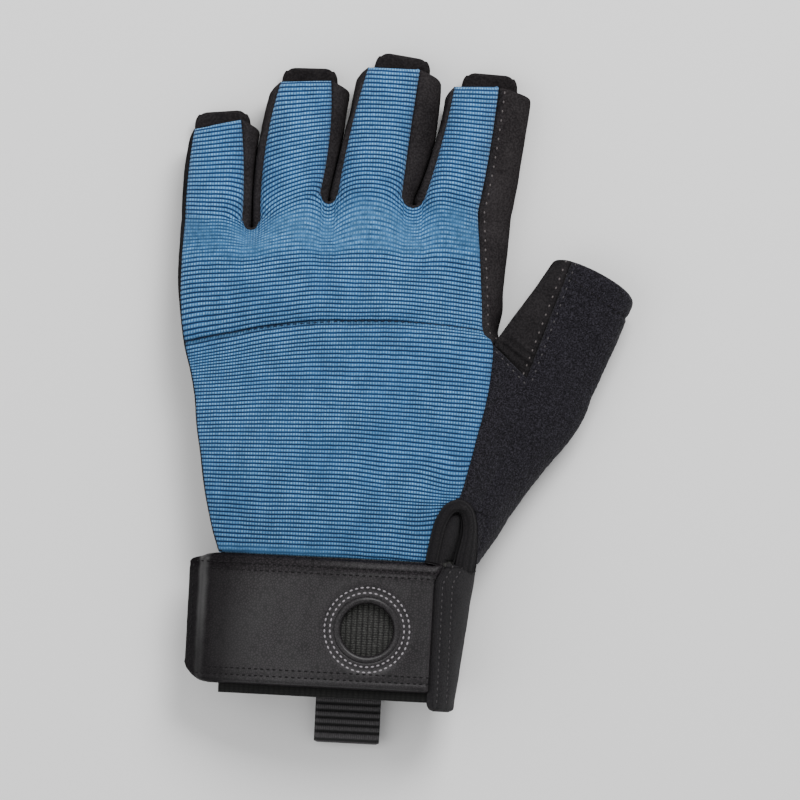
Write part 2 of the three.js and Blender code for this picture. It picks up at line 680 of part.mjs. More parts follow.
const handRows = range(0, ROOT_ROW);
const lowerRows = range(0, CROTCH_ROW);
const upperRows = range(CROTCH_ROW, ROOT_ROW);
const fingerSteps = range(0, FINGER_ROWS).map((i) => i / FINGER_ROWS);

function fingerRows(index, level) {
  return fingerSteps.map((t) =>
    range(0, FINGER_CELLS).map((j) => fingerPoint(index, level, t, j / FINGER_CELLS)));
}

function backPanel() {
  const sheet = new Sheet().add(handRows.map(backRow));
  FINGERS.forEach((_, index) => sheet.add(fingerRows(index, 'T')));
  return sheet;
}

function thumbRows(part) {
  const base = thumbBaseRing()[part];
  const mouth = thumbMouth()[part];
  return range(0, THUMB_ROWS).map((i) => base.map((point, j) => blend(point, mouth[j], i / THUMB_ROWS)));
}

function palmPanel() {
  const sheet = new Sheet().add(handRows.map(palmRow), true);
  sheet.add(handRows.map((row) => wallLine(leftEdges(row))), true);
  sheet.add(fingerSteps.map((t) => wallLine(fingerEdges(0, t).left)), true);
  FINGERS.forEach((_, index) => sheet.add(fingerRows(index, 'B'), true));
  sheet.add(lowerRows.map(thumbPalmRow), true);
  sheet.add(thumbRows('leather'));
  return sheet;
}

function thumbBack() {
  return new Sheet().add(lowerRows.map(terryRow)).add(thumbRows('terry'));
}

function indexSide() {
  const sheet = new Sheet().add(upperRows.map((row) => wallLine(rightEdges(row))));
  return sheet.add(fingerSteps.map((t) => wallLine(fingerEdges(3, t).right)));
}

// The strip between two fingers: down one, round the web, up the other.
function fourchette(index) {
  const rows = [];
  [...fingerSteps].reverse().forEach((t) => rows.push(wallLine(fingerEdges(index, t).right)));
  for (let j = 1; j < WEB_CELLS; j += 1) {
    const t = j / WEB_CELLS;
    const edges = { T: webPoint(index, 'T', t), M: webPoint(index, 'M', t), B: webPoint(index, 'B', t) };
    rows.push(wallLine(edges));
  }
  fingerSteps.forEach((t) => rows.push(wallLine(fingerEdges(index + 1, t).left)));
  return new Sheet().add(rows, true);
}

const FOURCHETTE_NAMES = ['little_ring', 'ring_middle', 'middle_index'];

// Place on the cuff's ring over the back: 0 to 1 is the arch, 1 to 2 the shoulder to the thumb's side.
function cuffBackPoint(place, down, offset) {
  const at = (w) => {
    const ring = CUFF_RING;
    const leftX = lerp(ring.leftX[0], ring.leftX[1], down) + BLUE_INSET;
    const shoulderX = lerp(ring.shoulderX[0], ring.shoulderX[1], down);
    const sideX = lerp(ring.sideX[0], ring.sideX[1], down);
    if (w <= 1) {
      const middle = (ring.leftZ + ring.shoulderZ) / 2;
      const rise = (ring.crown - middle) * (1 - Math.abs(2 * w - 1) ** ARCH_POWER);
      const z = lerp(ring.leftZ, ring.shoulderZ, w) + rise;
      return new THREE.Vector2(lerp(leftX, shoulderX, w) * HAND_WIDTH, z * HAND_HEIGHT);
    }
    const angle = ((w - 1) * Math.PI) / 2;
    const x = lerp(shoulderX, sideX, Math.sin(angle));
    const z = lerp(ring.sideZ, ring.shoulderZ, Math.cos(angle));
    return new THREE.Vector2(x * HAND_WIDTH, z * HAND_HEIGHT);
  };
  const step = 0.01;
  const along = at(Math.min(place + step, 2)).sub(at(Math.max(place - step, 0))).normalize();
  const point = at(place);
  return [point.x - along.y * offset, -down * CUFF_LENGTH, point.y + along.x * offset];
}

// Place on the ring where the offset surface has a given X.
function cuffPlaceAt(x, down, offset) {
  let low = 0;
  let high = 2;
  for (let i = 0; i < 30; i += 1) {
    const middle = (low + high) / 2;
    if (cuffBackPoint(middle, down, offset)[0] < x) low = middle;
    else high = middle;
  }
  return low;
}

const CUFF_DOWNS = [SEAM_GAP / CUFF_LENGTH, 0.24, 0.48, 0.72, ELASTIC_LENGTH / CUFF_LENGTH, 1];

function cuffBack() {
  const rows = [...CUFF_DOWNS].reverse().map((down) => {
    const places = range(0, CUFF_BACK_CELLS).map((j) => j / CUFF_BACK_CELLS);
    [0.22, 0.44].forEach((step) => places.push(1 + step));
    places.push(CUFF_BACK_END);
    return places.map((place) => cuffBackPoint(place, down, 0));
  });
  return new Sheet().add(rows);
}

function cuffElastic() {
  const lift = WEBBING_WALL + SEAM_GAP;
  const rows = CUFF_DOWNS.slice(0, -1).reverse().map((level) => {
    const ring = CUFF_RING;
    const side = cuffBackPoint(2, level, 0);
    const leftX = lerp(ring.leftX[0], ring.leftX[1], level) * HAND_WIDTH;
    const y = side[1];
    const points = [cuffBackPoint(CUFF_BACK_END, level, 0), cuffBackPoint(1.84, level, 0), side];
    [30, 60, 90].forEach((angle) => {
      const x = side[0] - CUFF_CORNER * (1 - Math.cos(radians(angle)));
      points.push([x, y, lerp(side[2], lift, Math.sin(radians(angle)))]);
    });
    const leftEdge = {
      T: cuffBackPoint(0, level, 0),
      M: [leftX, y, ring.leftWallZ * HAND_HEIGHT],
      B: [leftX + CUFF_CORNER, y, lift],
    };
    const start = points[points.length - 1];
    for (let j = 1; j < 6; j += 1) points.push(blend(start, leftEdge.B, j / 6));
    points.push(...wallLine(leftEdge).reverse());
    return points;
  });
  return new Sheet().add(rows);
}

// The strap's outer face along its length: from the thumb's side over the cuff to the free end.
function strapLine(down) {
  const offset = SEAM_GAP + STRAP_WALL;
  const start = cuffPlaceAt(STRAP_RIGHT_X * HAND_WIDTH, down, offset);
  const cells = 12;
  const points = range(0, cells).map((j) =>
    cuffBackPoint(lerp(start, STRAP_LEAVES, j / cells), down, offset));
  const last = points[cells];
  const before = cuffBackPoint(STRAP_LEAVES + 0.01, down, offset);
  const slope = (before[2] - last[2]) / (before[0] - last[0]);
  const end = STRAP_END_X * HAND_WIDTH;
  [0.35, 0.65, 0.86, 1].forEach((t) => {
    const x = lerp(last[0], end, t);
    points.push([x, last[1], last[2] + slope * (x - last[0]) - STRAP_DROOP * t * t]);
  });
  return points;
}

function strapSheet() {
  const steps = [0, 0.07, 0.2, 0.4, 0.6, 0.8, 0.93, 1];
  const end = STRAP_END_X * HAND_WIDTH;
  const rows = steps.map((t) => {
    const y = -(STRAP_TOP + STRAP_WIDTH * (1 - t));
    return strapLine(-y / CUFF_LENGTH).map((point) => {
      const inset = point[0] - end;
      const top = cornerInset(inset, STRAP_TOP_CORNER);
      const bottom = cornerInset(inset, STRAP_BOTTOM_CORNER);
      return [point[0], lerp(-(STRAP_TOP + STRAP_WIDTH) + bottom, -STRAP_TOP - top, t), point[2]];
    }).reverse();
  });
  return new Sheet().add(rows);
}

// How far a rounded corner takes the edge in, at a distance from the strap's end.
function cornerInset(distance, radius) {
  if (distance >= radius) return 0;
  return radius - Math.sqrt(Math.max(radius ** 2 - (radius - distance) ** 2, 0)) * 0.98;
}

function strapHeightAt(x, down) {
  const offset = SEAM_GAP + STRAP_WALL;
  return cuffBackPoint(cuffPlaceAt(x, down, offset), down, offset)[2];
}

// The rolled rim of the clip hole, seated in the strap's hole.
function clipHoleRim() {
  const sides = 28;
  const section = 8;
  const radius = CLIP_HOLE_RADIUS + RIM_WIDTH / 2;
  const points = [];
  const triangles = [];
  for (let i = 0; i < sides; i += 1) {
    const turn = (i / sides) * Math.PI * 2;
    const x = CLIP_HOLE.x * HAND_WIDTH + radius * Math.cos(turn);
    const top = strapHeightAt(x, CLIP_HOLE.down) + RIM_STAND;
    for (let j = 0; j < section; j += 1) {
      const angle = (j / section) * Math.PI * 2;
      const r = radius + (RIM_WIDTH / 2) * Math.cos(angle);
      points.push(new THREE.Vector3(
        CLIP_HOLE.x * HAND_WIDTH + r * Math.cos(turn),
        -CLIP_HOLE.down * CUFF_LENGTH + r * Math.sin(turn),
        top - (RIM_HEIGHT / 2) * (1 - Math.sin(angle)),
      ));
      const a = i * section + j;
      const b = i * section + ((j + 1) % section);
      const c = ((i + 1) % sides) * section + ((j + 1) % section);
      const d = ((i + 1) % sides) * section + j;
      triangles.push([a, d, c], [a, c, b]);
    }
  }
  return solid(points, triangles);
}

function edgeTape() {
  const offset = SEAM_GAP + TAPE_WALL;
  const end = (CUFF_LENGTH + TAPE_OVERHANG) / CUFF_LENGTH;
  const downs = [end, end - 0.03, 0.75, 0.45, TAPE_SLANT_END, 0.09, SEAM_GAP * 2 / CUFF_LENGTH];
  const rows = downs.map((down, i) => {
    const slant = 1 - smoothstep(down, 0, TAPE_SLANT_END);
    const leftX = lerp(TAPE_LEFT_X.below, TAPE_LEFT_X.top, slant) * HAND_WIDTH;
    const inset = i === 0 ? 0.12 : 0;
    const level = Math.min(down, 1);
    const start = cuffPlaceAt(leftX, level, offset);
    const places = range(0, 4).map((j) => lerp(start, 2, lerp(inset, 1 - inset / 2, j / 4)));
    return places.map((place) => {
      const point = cuffBackPoint(place, level, offset);
      point[1] = -down * CUFF_LENGTH;
      return point;
    });
  });
  return new Sheet().add(rows);
}

// Height of the hand's surface between the blue edge and the terry's edge, for the vent's pieces.
function ventHeight(x, y) {
  const share = y / HAND_LENGTH;
  let row = 0;
  while (row < VENT_TOP_ROW - 1 && HAND_ROWS[row + 1].rightY < share) row += 1;
  const t = (share - HAND_ROWS[row].rightY) / (HAND_ROWS[row + 1].rightY - HAND_ROWS[row].rightY);
  const blue = blend(blueRight(row), blueRight(row + 1), t);
  const terry = blend(terryEdge(row), terryEdge(row + 1), t);
  const s = THREE.MathUtils.clamp((x - blue[0]) / Math.max(terry[0] - blue[0], 1), 0, 1);
  return lerp(blue[2], terry[2], s ** 1.6);
}

function ventBinding() {
  const rows = VENT_BINDING.map(({ outerX, outerY, innerX, innerY }) => range(0, 4).map((j) => {
    const t = j / 4;
    const x = lerp(outerX, innerX, t) * HAND_WIDTH;
    const y = lerp(outerY, innerY, t) * HAND_LENGTH;
    return [x, y, ventHeight(x, y) + BINDING_STAND * Math.sin(Math.PI * t)];
  }));
  return new Sheet().add(rows, true);
}

function ventGusset() {
  const depth = BINDING_WALL + SEAM_GAP * 2;
  const rows = [0, 0.035, 0.07, 0.105, 0.135, 0.155].map((share) => {
    let row = 0;
    while (HAND_ROWS[row + 1].rightY < share) row += 1;
    const t = (share - HAND_ROWS[row].rightY) / (HAND_ROWS[row + 1].rightY - HAND_ROWS[row].rightY);
    const left = blend(blueRight(row), blueRight(row + 1), t)[0] + GUSSET_INSET;
    const right = blend(terryEdge(row), terryEdge(row + 1), t)[0] - TERRY_WALL - GUSSET_INSET;
    return range(0, 8).map((j) => {
      const x = lerp(left, right, j / 8);
      const fold = GUSSET_FOLD * (Math.sin((j / 8) * Math.PI * 3) - 1);
      return [x, share * HAND_LENGTH, ventHeight(x, share * HAND_LENGTH) - depth + fold];
    });
  });
  return new Sheet().add(rows);
}

// The reinforcement on the palm between index finger and thumb.
function palmPatch() {
  const shape = new THREE.Shape(PATCH_OUTLINE.map(({ x, y }) =>
    new THREE.Vector2(x * HAND_WIDTH, y * HAND_LENGTH)));
  return new THREE.ExtrudeGeometry(shape, { depth: PATCH_WALL, bevelEnabled: false, steps: 1 });
}

// A folded ribbon: its path lies in the YZ plane, and it is extruded along X.
function ribbon(path, wall, width) {
  const left = [];
  const right = [];
  path.forEach((point, i) => {
    const before = path[Math.max(i - 1, 0)];
    const after = path[Math.min(i + 1, path.length - 1)];
    const along = after.clone().sub(before).normalize();
    const across = new THREE.Vector2(-along.y, along.x).multiplyScalar(wall / 2);
    left.push(point.clone().add(across));
    right.push(point.clone().sub(across));
  });
  const shape = new THREE.Shape([...left, ...right.reverse()]);
  const geometry = new THREE.ExtrudeGeometry(shape, { depth: width, bevelEnabled: false, steps: 1 });
  geometry.rotateY(Math.PI / 2);
  geometry.rotateX(Math.PI / 2);
  return geometry;
}

// A fold of two layers: in along the lower one, round the end and back along the upper one.
function foldedPath(startY, endY, lowZ, gap, wall, returnY) {
  const radius = (gap + wall) / 2;
  const path = [new THREE.Vector2(startY, lowZ)];
  for (let i = 0; i <= 6; i += 1) {
    const angle = (i / 6) * Math.PI;
    const y = endY + wall / 2 + radius - radius * Math.sin(angle);
    path.push(new THREE.Vector2(y, lowZ + radius - radius * Math.cos(angle)));
  }
  path.push(new THREE.Vector2(returnY, lowZ + 2 * radius));
  return path;
}

// The pull loop: sewn flat under the elastic, folded below the cuff, its end at the elastic's edge.
function pullLoop() {
  const end = -(CUFF_LENGTH + LOOP_DROP);
  const back = -(ELASTIC_LENGTH + SEAM_GAP * 2);
  const path = foldedPath(-WEBBING_TOP, end, WEBBING_WALL / 2, LOOP_GAP, WEBBING_WALL, back);
  const geometry = ribbon(path, WEBBING_WALL, WEBBING_WIDTH);
  return seatRibbon(geometry, WEBBING_X * HAND_WIDTH - WEBBING_WIDTH / 2);
}

// The two narrow folded tapes that come out of the cuff's inside beside the pull loop.
function smallTape(side) {
  const floor = WEBBING_WALL + SEAM_GAP + ELASTIC_WALL + SEAM_GAP;
  const end = -(ELASTIC_LENGTH + SMALL_TAPE_DROP);
  const back = -(ELASTIC_LENGTH - SMALL_TAPE_TUCK);
  const path = foldedPath(back, end, floor + SMALL_TAPE_WALL / 2, SEAM_GAP, SMALL_TAPE_WALL, back);
  const geometry = ribbon(path, SMALL_TAPE_WALL, SMALL_TAPE_WIDTH);
  const middle = WEBBING_X * HAND_WIDTH + side * SMALL_TAPE_SPACING;
  return seatRibbon(geometry, middle - SMALL_TAPE_WIDTH / 2);
}

function seatRibbon(geometry, lowX) {
  geometry.computeBoundingBox();
  geometry.translate(lowX - geometry.boundingBox.min.x, 0, 0);
  return geometry;
}

// A pull tab: tucked inside the palm's hem and standing out beyond the blue one.
function pullTab(index) {
  const finger = FINGERS[index];
  const tip = fingerEdges(index, 1);
  const stand = (tip.left.T[1] + tip.right.T[1]) / 2 + TAB_STAND;
  const hem = (tip.left.B[1] + tip.right.B[1]) / 2;
  const length = stand - hem;
  const half = TAB_WIDTH / 2;
  const base = TAB_BASE_WIDTH / 2;
  const shape = new THREE.Shape();
  shape.moveTo(-base, -TAB_TUCK);
  shape.lineTo(base, -TAB_TUCK);
  shape.lineTo(base, TAB_NECK);
  shape.lineTo(half, TAB_SHOULDER);
  shape.lineTo(half - 0.6, length - TAB_CORNER);
  shape.quadraticCurveTo(half - 1.2, length, half - TAB_CORNER, length);
  shape.lineTo(-half + TAB_CORNER, length);
  shape.quadraticCurveTo(-half + 1.2, length, -half + 0.6, length - TAB_CORNER);
  shape.lineTo(-half, TAB_SHOULDER);
  shape.lineTo(-base, TAB_NECK);
  const geometry = new THREE.ExtrudeGeometry(shape, {
    depth: TAB_WALL, bevelEnabled: false, steps: 1, curveSegments: 4,
  });
  const mesh = new THREE.Mesh(geometry);
  const floor = LEATHER_WALL + SEAM_GAP;
  const rise = Math.sin(radians(TAB_RISE)) * TAB_TUCK;
  mesh.position.set((tip.left.M[0] + tip.right.M[0]) / 2, hem, floor + rise + TAB_SEAT);
  mesh.rotation.set(radians(TAB_RISE), 0, radians(finger.tabTurn), 'ZYX');
  return mesh;
}

// Boolean cut with manifold: both solids as plain positions with merged vertices.
const wasm = await Module();
wasm.setup();

function toManifold(geometry) {
  const plain = geometry.clone();
  plain.deleteAttribute('normal');
  plain.deleteAttribute('uv');
  const merged = mergeVertices(plain, 1e-4);
  return new wasm.Manifold(new wasm.Mesh({
    numProp: 3,
    vertProperties: new Float32Array(merged.attributes.position.array),
    triVerts: new Uint32Array(merged.index.array),
  }));
}

function cut(geometry, tool) {
  const mesh = toManifold(geometry).subtract(toManifold(tool)).getMesh();
  const result = new THREE.BufferGeometry();
  result.setAttribute('position', new THREE.BufferAttribute(mesh.vertProperties, 3));
  result.setIndex(new THREE.BufferAttribute(mesh.triVerts, 1));
  result.computeVertexNormals();
  return result;
}

function clipHoleTool() {
  const tool = new THREE.CylinderGeometry(
    CLIP_HOLE_RADIUS + RIM_WIDTH + SEAM_GAP, CLIP_HOLE_RADIUS + RIM_WIDTH + SEAM_GAP, HAND_HEIGHT, 28);
  tool.rotateX(Math.PI / 2);
  tool.translate(CLIP_HOLE.x * HAND_WIDTH, -CLIP_HOLE.down * CUFF_LENGTH, CUFF_RING.crown * HAND_HEIGHT);
  return tool;
}

// The clipped corner of the index side panel, where it meets the palm in the thumb's crotch.
function crotchCornerTool() {
  const corner = rightEdges(CROTCH_ROW).B;
  const size = 8 * CROTCH_CLIP;
  const tool = new THREE.BoxGeometry(size, size, size);
  const top = corner[2] + CROTCH_CLIP_HEIGHT;
  tool.translate(corner[0], corner[1] + CROTCH_CLIP - size / 2, top - size / 2);
  return tool;
}

// Materials
const finishes = {
  blueKnit: { color: 0x4d7293, roughness: 0.85 },
  suede: { color: 0x242223, roughness: 0.8 },
  terry: { color: 0x26252a, roughness: 0.95 },
  elastic: { color: 0x2f2e2f, roughness: 0.8 },
  strapLeather: { color: 0x373437, roughness: 0.5 },
  webbing: { color: 0x29282a, roughness: 0.75 },
  binding: { color: 0x2b2a2c, roughness: 0.85 },
};

function material(name) {
  return new THREE.MeshStandardMaterial({ ...finishes[name], metalness: 0 });
}

const glove = new THREE.Group();

function place(name, object, finish) {
  const mesh = object.isMesh ? object : new THREE.Mesh(object);
  mesh.name = name;
  mesh.material = material(finish);
  glove.add(mesh);
}

// Sewn panels
const sewn = [
  { name: 'back_panel', sheet: backPanel(), wall: KNIT_WALL, finish: 'blueKnit' },
  { name: 'palm_panel', sheet: palmPanel(), wall: LEATHER_WALL, finish: 'suede' },
  { name: 'thumb_back', sheet: thumbBack(), wall: TERRY_WALL, finish: 'terry' },
  { name: 'index_side_panel', sheet: indexSide(), wall: SIDE_WALL, finish: 'suede' },
  ...FOURCHETTE_NAMES.map((name, index) => (
    { name: `fourchette_${name}`, sheet: fourchette(index), wall: SIDE_WALL, finish: 'suede' })),
  { name: 'cuff_back', sheet: cuffBack(), wall: CUFF_BACK_WALL, finish: 'terry' },
  { name: 'cuff_elastic', sheet: cuffElastic(), wall: ELASTIC_WALL, finish: 'elastic' },
  { name: 'wrist_strap', sheet: strapSheet(), wall: STRAP_WALL, finish: 'strapLeather' },
  { name: 'cuff_edge_tape', sheet: edgeTape(), wall: TAPE_WALL, finish: 'binding' },
  { name: 'vent_binding', sheet: ventBinding(), wall: BINDING_WALL, finish: 'binding' },
  { name: 'vent_gusset', sheet: ventGusset(), wall: GUSSET_WALL, finish: 'binding' },
];
const cuts = { wrist_strap: clipHoleTool, index_side_panel: crotchCornerTool };
const directions = seamDirections(sewn.map(({ sheet }) => sheet));
sewn.forEach(({ name, sheet, wall, finish }) => {
  const body = thicken(sheet, wall, directions);
  place(name, cuts[name] ? cut(body, cuts[name]()) : body, finish);
});

place('clip_hole_rim', clipHoleRim(), 'strapLeather');
place('palm_patch', palmPatch(), 'suede');
place('pull_loop', pullLoop(), 'webbing');
place('tape_loop_little_side', smallTape(-1), 'webbing');
place('tape_loop_thumb_side', smallTape(1), 'webbing');
FINGERS.forEach((finger, index) => place(`pull_tab_${finger.name}`, pullTab(index), 'suede'));

// The origin is on the floor, below the middle of the glove's box.
const box = new THREE.Box3().setFromObject(glove, true);
const middle = box.getCenter(new THREE.Vector3());
glove.position.set(-middle.x, -middle.y, -box.min.z);
glove.updateMatrixWorld(true);

export default glove;
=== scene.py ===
"""Looks of a half-finger climbing glove for the left hand: sewn panels, stitches, cuff and materials.

Sizes are in millimetres from the cuff's seam, with +Y to the fingers, +X to the thumb and +Z up.
They are moved into the frame, and to metres, where a mesh is made.
"""

import math

import bpy
import numpy as np
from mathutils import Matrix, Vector
from mathutils.bvhtree import BVHTree
from mathutils.kdtree import KDTree


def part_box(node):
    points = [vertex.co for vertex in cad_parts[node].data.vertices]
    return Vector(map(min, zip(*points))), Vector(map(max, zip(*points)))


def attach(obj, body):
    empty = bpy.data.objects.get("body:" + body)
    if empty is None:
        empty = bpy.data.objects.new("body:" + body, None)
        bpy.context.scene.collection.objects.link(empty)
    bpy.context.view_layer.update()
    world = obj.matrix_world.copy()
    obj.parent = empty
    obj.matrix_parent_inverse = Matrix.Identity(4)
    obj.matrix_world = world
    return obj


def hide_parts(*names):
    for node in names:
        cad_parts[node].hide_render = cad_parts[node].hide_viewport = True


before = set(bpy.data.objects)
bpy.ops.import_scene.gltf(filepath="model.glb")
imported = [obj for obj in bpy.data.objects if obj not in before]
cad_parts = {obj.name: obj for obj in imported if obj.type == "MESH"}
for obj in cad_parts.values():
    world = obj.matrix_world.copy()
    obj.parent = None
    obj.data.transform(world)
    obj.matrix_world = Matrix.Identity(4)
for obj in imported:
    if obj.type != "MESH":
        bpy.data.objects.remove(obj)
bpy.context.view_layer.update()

# Hand sizes
HAND_WIDTH = 100.0
HAND_LENGTH = 100.0
HAND_HEIGHT = 30.0
FINGER_LENGTH = 40.0
FINGER_HEIGHT = 18.5
FINGER_ROOT_HEIGHT = 22.0
FINGER_SLANT = 5.5
THUMB_HEIGHT = 15.0
THUMB_SLANT = 3.0
WEB_DEPTH = 2.7
PALM_WEB_DROP = 1.5
PALM_EDGE_RISE = 0.9
PALM_SET_BACK = 1.0
PATCH_RECESS = 1.5
EDGE_ROUNDING = 5.0
ROOT_DISTANCE = 111.0

# Walls, gaps and seams
SEAM_GAP = 0.3
SEAM_ALLOWANCE = 0.6
SEAM_CALM = 2.5
LIP = 0.2
EDGE_ROLL = 0.55
EDGE_ROLL_WIDTH = 1.9
LEATHER_ROLL = dict(roll=0.4, roll_width=1.5)
TERRY_ROLL = dict(roll=0.5, roll_width=1.6)
STRAP_ROLL = dict(roll=0.7, roll_width=1.6)
TAPE_ROLL = dict(roll=0.6, roll_width=1.4)
BINDING_ROLL = dict(roll=0.6, roll_width=1.2)
TAB_ROLL = dict(roll=0.3, roll_width=0.8)
PATCH_ROLL = dict(roll=0.3, roll_width=1.0)
FINGERTIPS_Y = 120
TIP_FACING = -0.7
MOUTH_MARGIN = dict(along=0.5, across=3)
RIDGE_X = -38
RIDGE_Y = 0.8
RIDGE_FACING = -0.3
KNIT_WALL = 1.6
LEATHER_WALL = 1.4
SIDE_WALL = 1.3
TERRY_WALL = 2.2
PATCH_WALL = 1.0

# Cuff sizes
CUFF_LENGTH = 43.8
ELASTIC_LENGTH = 40.8
ELASTIC_WALL = 1.8
CUFF_BACK_WALL = 1.5
CUFF_CORNER = 5.0
STRAP_WIDTH = 38.8
STRAP_TOP = 1.7
STRAP_WALL = 2.4
STRAP_TOP_CORNER = 2.2
STRAP_BOTTOM_CORNER = 6.5
STRAP_DROOP = 1.6
CLIP_HOLE_RADIUS = 8.2
RIM_WIDTH = 2.5
RIM_STAND = 0.6
RIM_HEIGHT = 3.0
TAPE_WALL = 1.8
TAPE_OVERHANG = 2.2
TAPE_END_DROP = 3.2
BINDING_WALL = 1.6
BINDING_STAND = 0.9
BINDING_TUCK = 1.6
BINDING_END_DROP = 2.4
LEG_SHARES = (0.3, 0.8)
RIGHT_LEG_X = (31.5, 33)
GUSSET_WALL = 1.0
GUSSET_INSET = 0.8
GUSSET_TOP = 17.2
GUSSET_GROOVE = (0.56, 1.05)
GUSSET_LUMP = 2.2
GUSSET_TUCK = 2.0
WEBBING_WIDTH = 20.4
WEBBING_WALL = 1.6
WEBBING_X = 4.2
WEBBING_TOP = 5.5
LOOP_DROP = 14.0
LOOP_GAP = 1.8
SMALL_TAPE_WIDTH = 10.0
SMALL_TAPE_WALL = 1.0
SMALL_TAPE_DROP = 4.5
SMALL_TAPE_SHORTER = 1.9
SMALL_TAPE_START = 5
SMALL_TAPE_SPACING = 19.5
TAB_WIDTH = 17.4
TAB_BASE_WIDTH = 12.5
TAB_WALL = 1.6
TAB_STAND = 4.2
TAB_TUCK = 6.0
TAB_CORNER = 3.6
TAB_RISE = math.radians(5)
TAB_SEAT = 0.4

# Cloth, and places of relief and stitches
RIB_PITCH = 1.31
RIB_HEIGHT = 0.34
LOOP_PITCH = 0.86
TWILL_PITCH = 1.25
WEBBING_PITCH = 2.2
CREASE_DISTANCE = 73.6
CALM_START = (94.0, 99.0)
CALM_END = (107.0, 113.0)
WEB_DROOP = 4.0
PINCH = dict(x=33.0, y=19.5, reach=8.5, strength=0.45)
RIB_WANDER = 0.45
STITCH_INSET = 2.4
STITCH_ROWS_APART = 2.1
HOLE_STITCH_RADII = (11.6, 13.3)
TAPE_STITCHES = (1.9, 4.9)
BEND_X = -42.6
BLUE_COVER = 0.7
COVER_ENDS = (10.5, 12.5)
CUFF_TUCK = 1.0
CUFF_EDGE_DROP = 1.4
THUMB_HEM = 5.6
LEFT_LEG_FADE = (31, 33)
STRAP_COVER = 1.0
SLITS_CLOSED_TO = (134.0, 139.0, 138.0)
FLOOR_DROP = 0.6

# Rows of the hand from the cuff seam to the fingers, as shares of width, length and height
HAND_ROWS = (
    dict(left_y=0, right_y=0, bulge=0, left_x=-0.39, right_x=0.27, left_z=0.64, crown=1, right_z=0.9),
    dict(left_y=0.07, right_y=0.065, bulge=0, left_x=-0.414, right_x=0.279, left_z=0.63, crown=1,
         right_z=0.9),
    dict(left_y=0.13, right_y=0.13, bulge=0, left_x=-0.43, right_x=0.293, left_z=0.62, crown=1, right_z=0.89),
    dict(left_y=0.175, right_y=0.175, bulge=0.002, left_x=-0.441, right_x=0.318, left_z=0.61, crown=1,
         right_z=0.88),
    dict(left_y=0.205, right_y=0.197, bulge=0.004, left_x=-0.447, right_x=0.354, left_z=0.6, crown=1,
         right_z=0.86),
    dict(left_y=0.3, right_y=0.3, bulge=0.008, left_x=-0.463, right_x=0.382, left_z=0.58, crown=1,
         right_z=0.82),
    dict(left_y=0.39, right_y=0.4, bulge=0.014, left_x=-0.48, right_x=0.403, left_z=0.57, crown=0.99,
         right_z=0.79),
    dict(left_y=0.475, right_y=0.5, bulge=0.022, left_x=-0.49, right_x=0.424, left_z=0.56, crown=0.98,
         right_z=0.76),
    dict(left_y=0.55, right_y=0.6, bulge=0.032, left_x=-0.506, right_x=0.436, left_z=0.55, crown=0.97,
         right_z=0.73),
    dict(left_y=0.605, right_y=0.695, bulge=0.042, left_x=-0.522, right_x=0.436, left_z=0.55, crown=0.97,
         right_z=0.69),
    dict(left_y=0.646, right_y=0.732, bulge=0.047, left_x=-0.533, right_x=0.405, left_z=0.54, crown=0.93,
         right_z=0.66),
    dict(left_y=0.73, right_y=0.8, bulge=0.042, left_x=-0.548, right_x=0.398, left_z=0.53, crown=0.97,
         right_z=0.61),
    dict(left_y=0.82, right_y=0.88, bulge=0.036, left_x=-0.559, right_x=0.391, left_z=0.51, crown=0.93,
         right_z=0.56),
    dict(left_y=0.919, right_y=0.983, bulge=0.03, left_x=-0.561, right_x=0.381, left_z=0.49, crown=0.85,
         right_z=0.52),
)
CROTCH_ROW = 9
CREASE_ROW = 10
VENT_TOP_ROW = 4
LAST_ROW = 13
ROOT_ROW = 15

# The thumb's side of the rows up to the crotch
THUMB_SIDE_ROWS = (
    dict(vent_x=0.408, vent_z=0.64, side_x=0.425, side_y=0, side_z=0.4, under=0.23, split_x=0.08),
    dict(vent_x=0.408, vent_z=0.66, side_x=0.456, side_y=0.051, side_z=0.38, under=0.21, split_x=0.11),
    dict(vent_x=0.404, vent_z=0.7, side_x=0.485, side_y=0.102, side_z=0.36, under=0.19, split_x=0.14),
    dict(vent_x=0.388, vent_z=0.76, side_x=0.505, side_y=0.137, side_z=0.35, under=0.175, split_x=0.165),
    dict(vent_x=0.354, vent_z=0.86, side_x=0.515, side_y=0.154, side_z=0.34, under=0.165, split_x=0.18),
    dict(vent_x=0.382, vent_z=0.82, side_x=0.566, side_y=0.235, side_z=0.32, under=0.14, split_x=0.24),
    dict(vent_x=0.403, vent_z=0.79, side_x=0.62, side_y=0.313, side_z=0.3, under=0.12, split_x=0.3),
    dict(vent_x=0.424, vent_z=0.76, side_x=0.68, side_y=0.392, side_z=0.29, under=0.1, split_x=0.35),
    dict(vent_x=0.436, vent_z=0.73, side_x=0.727, side_y=0.47, side_z=0.28, under=0.085, split_x=0.395),
    dict(vent_x=0.436, vent_z=0.69, side_x=0.755, side_y=0.544, side_z=0.28, under=0.07, split_x=0.432),
)
INDEX_SIDE_X = (0.462, 0.449, 0.46, 0.458, 0.466)

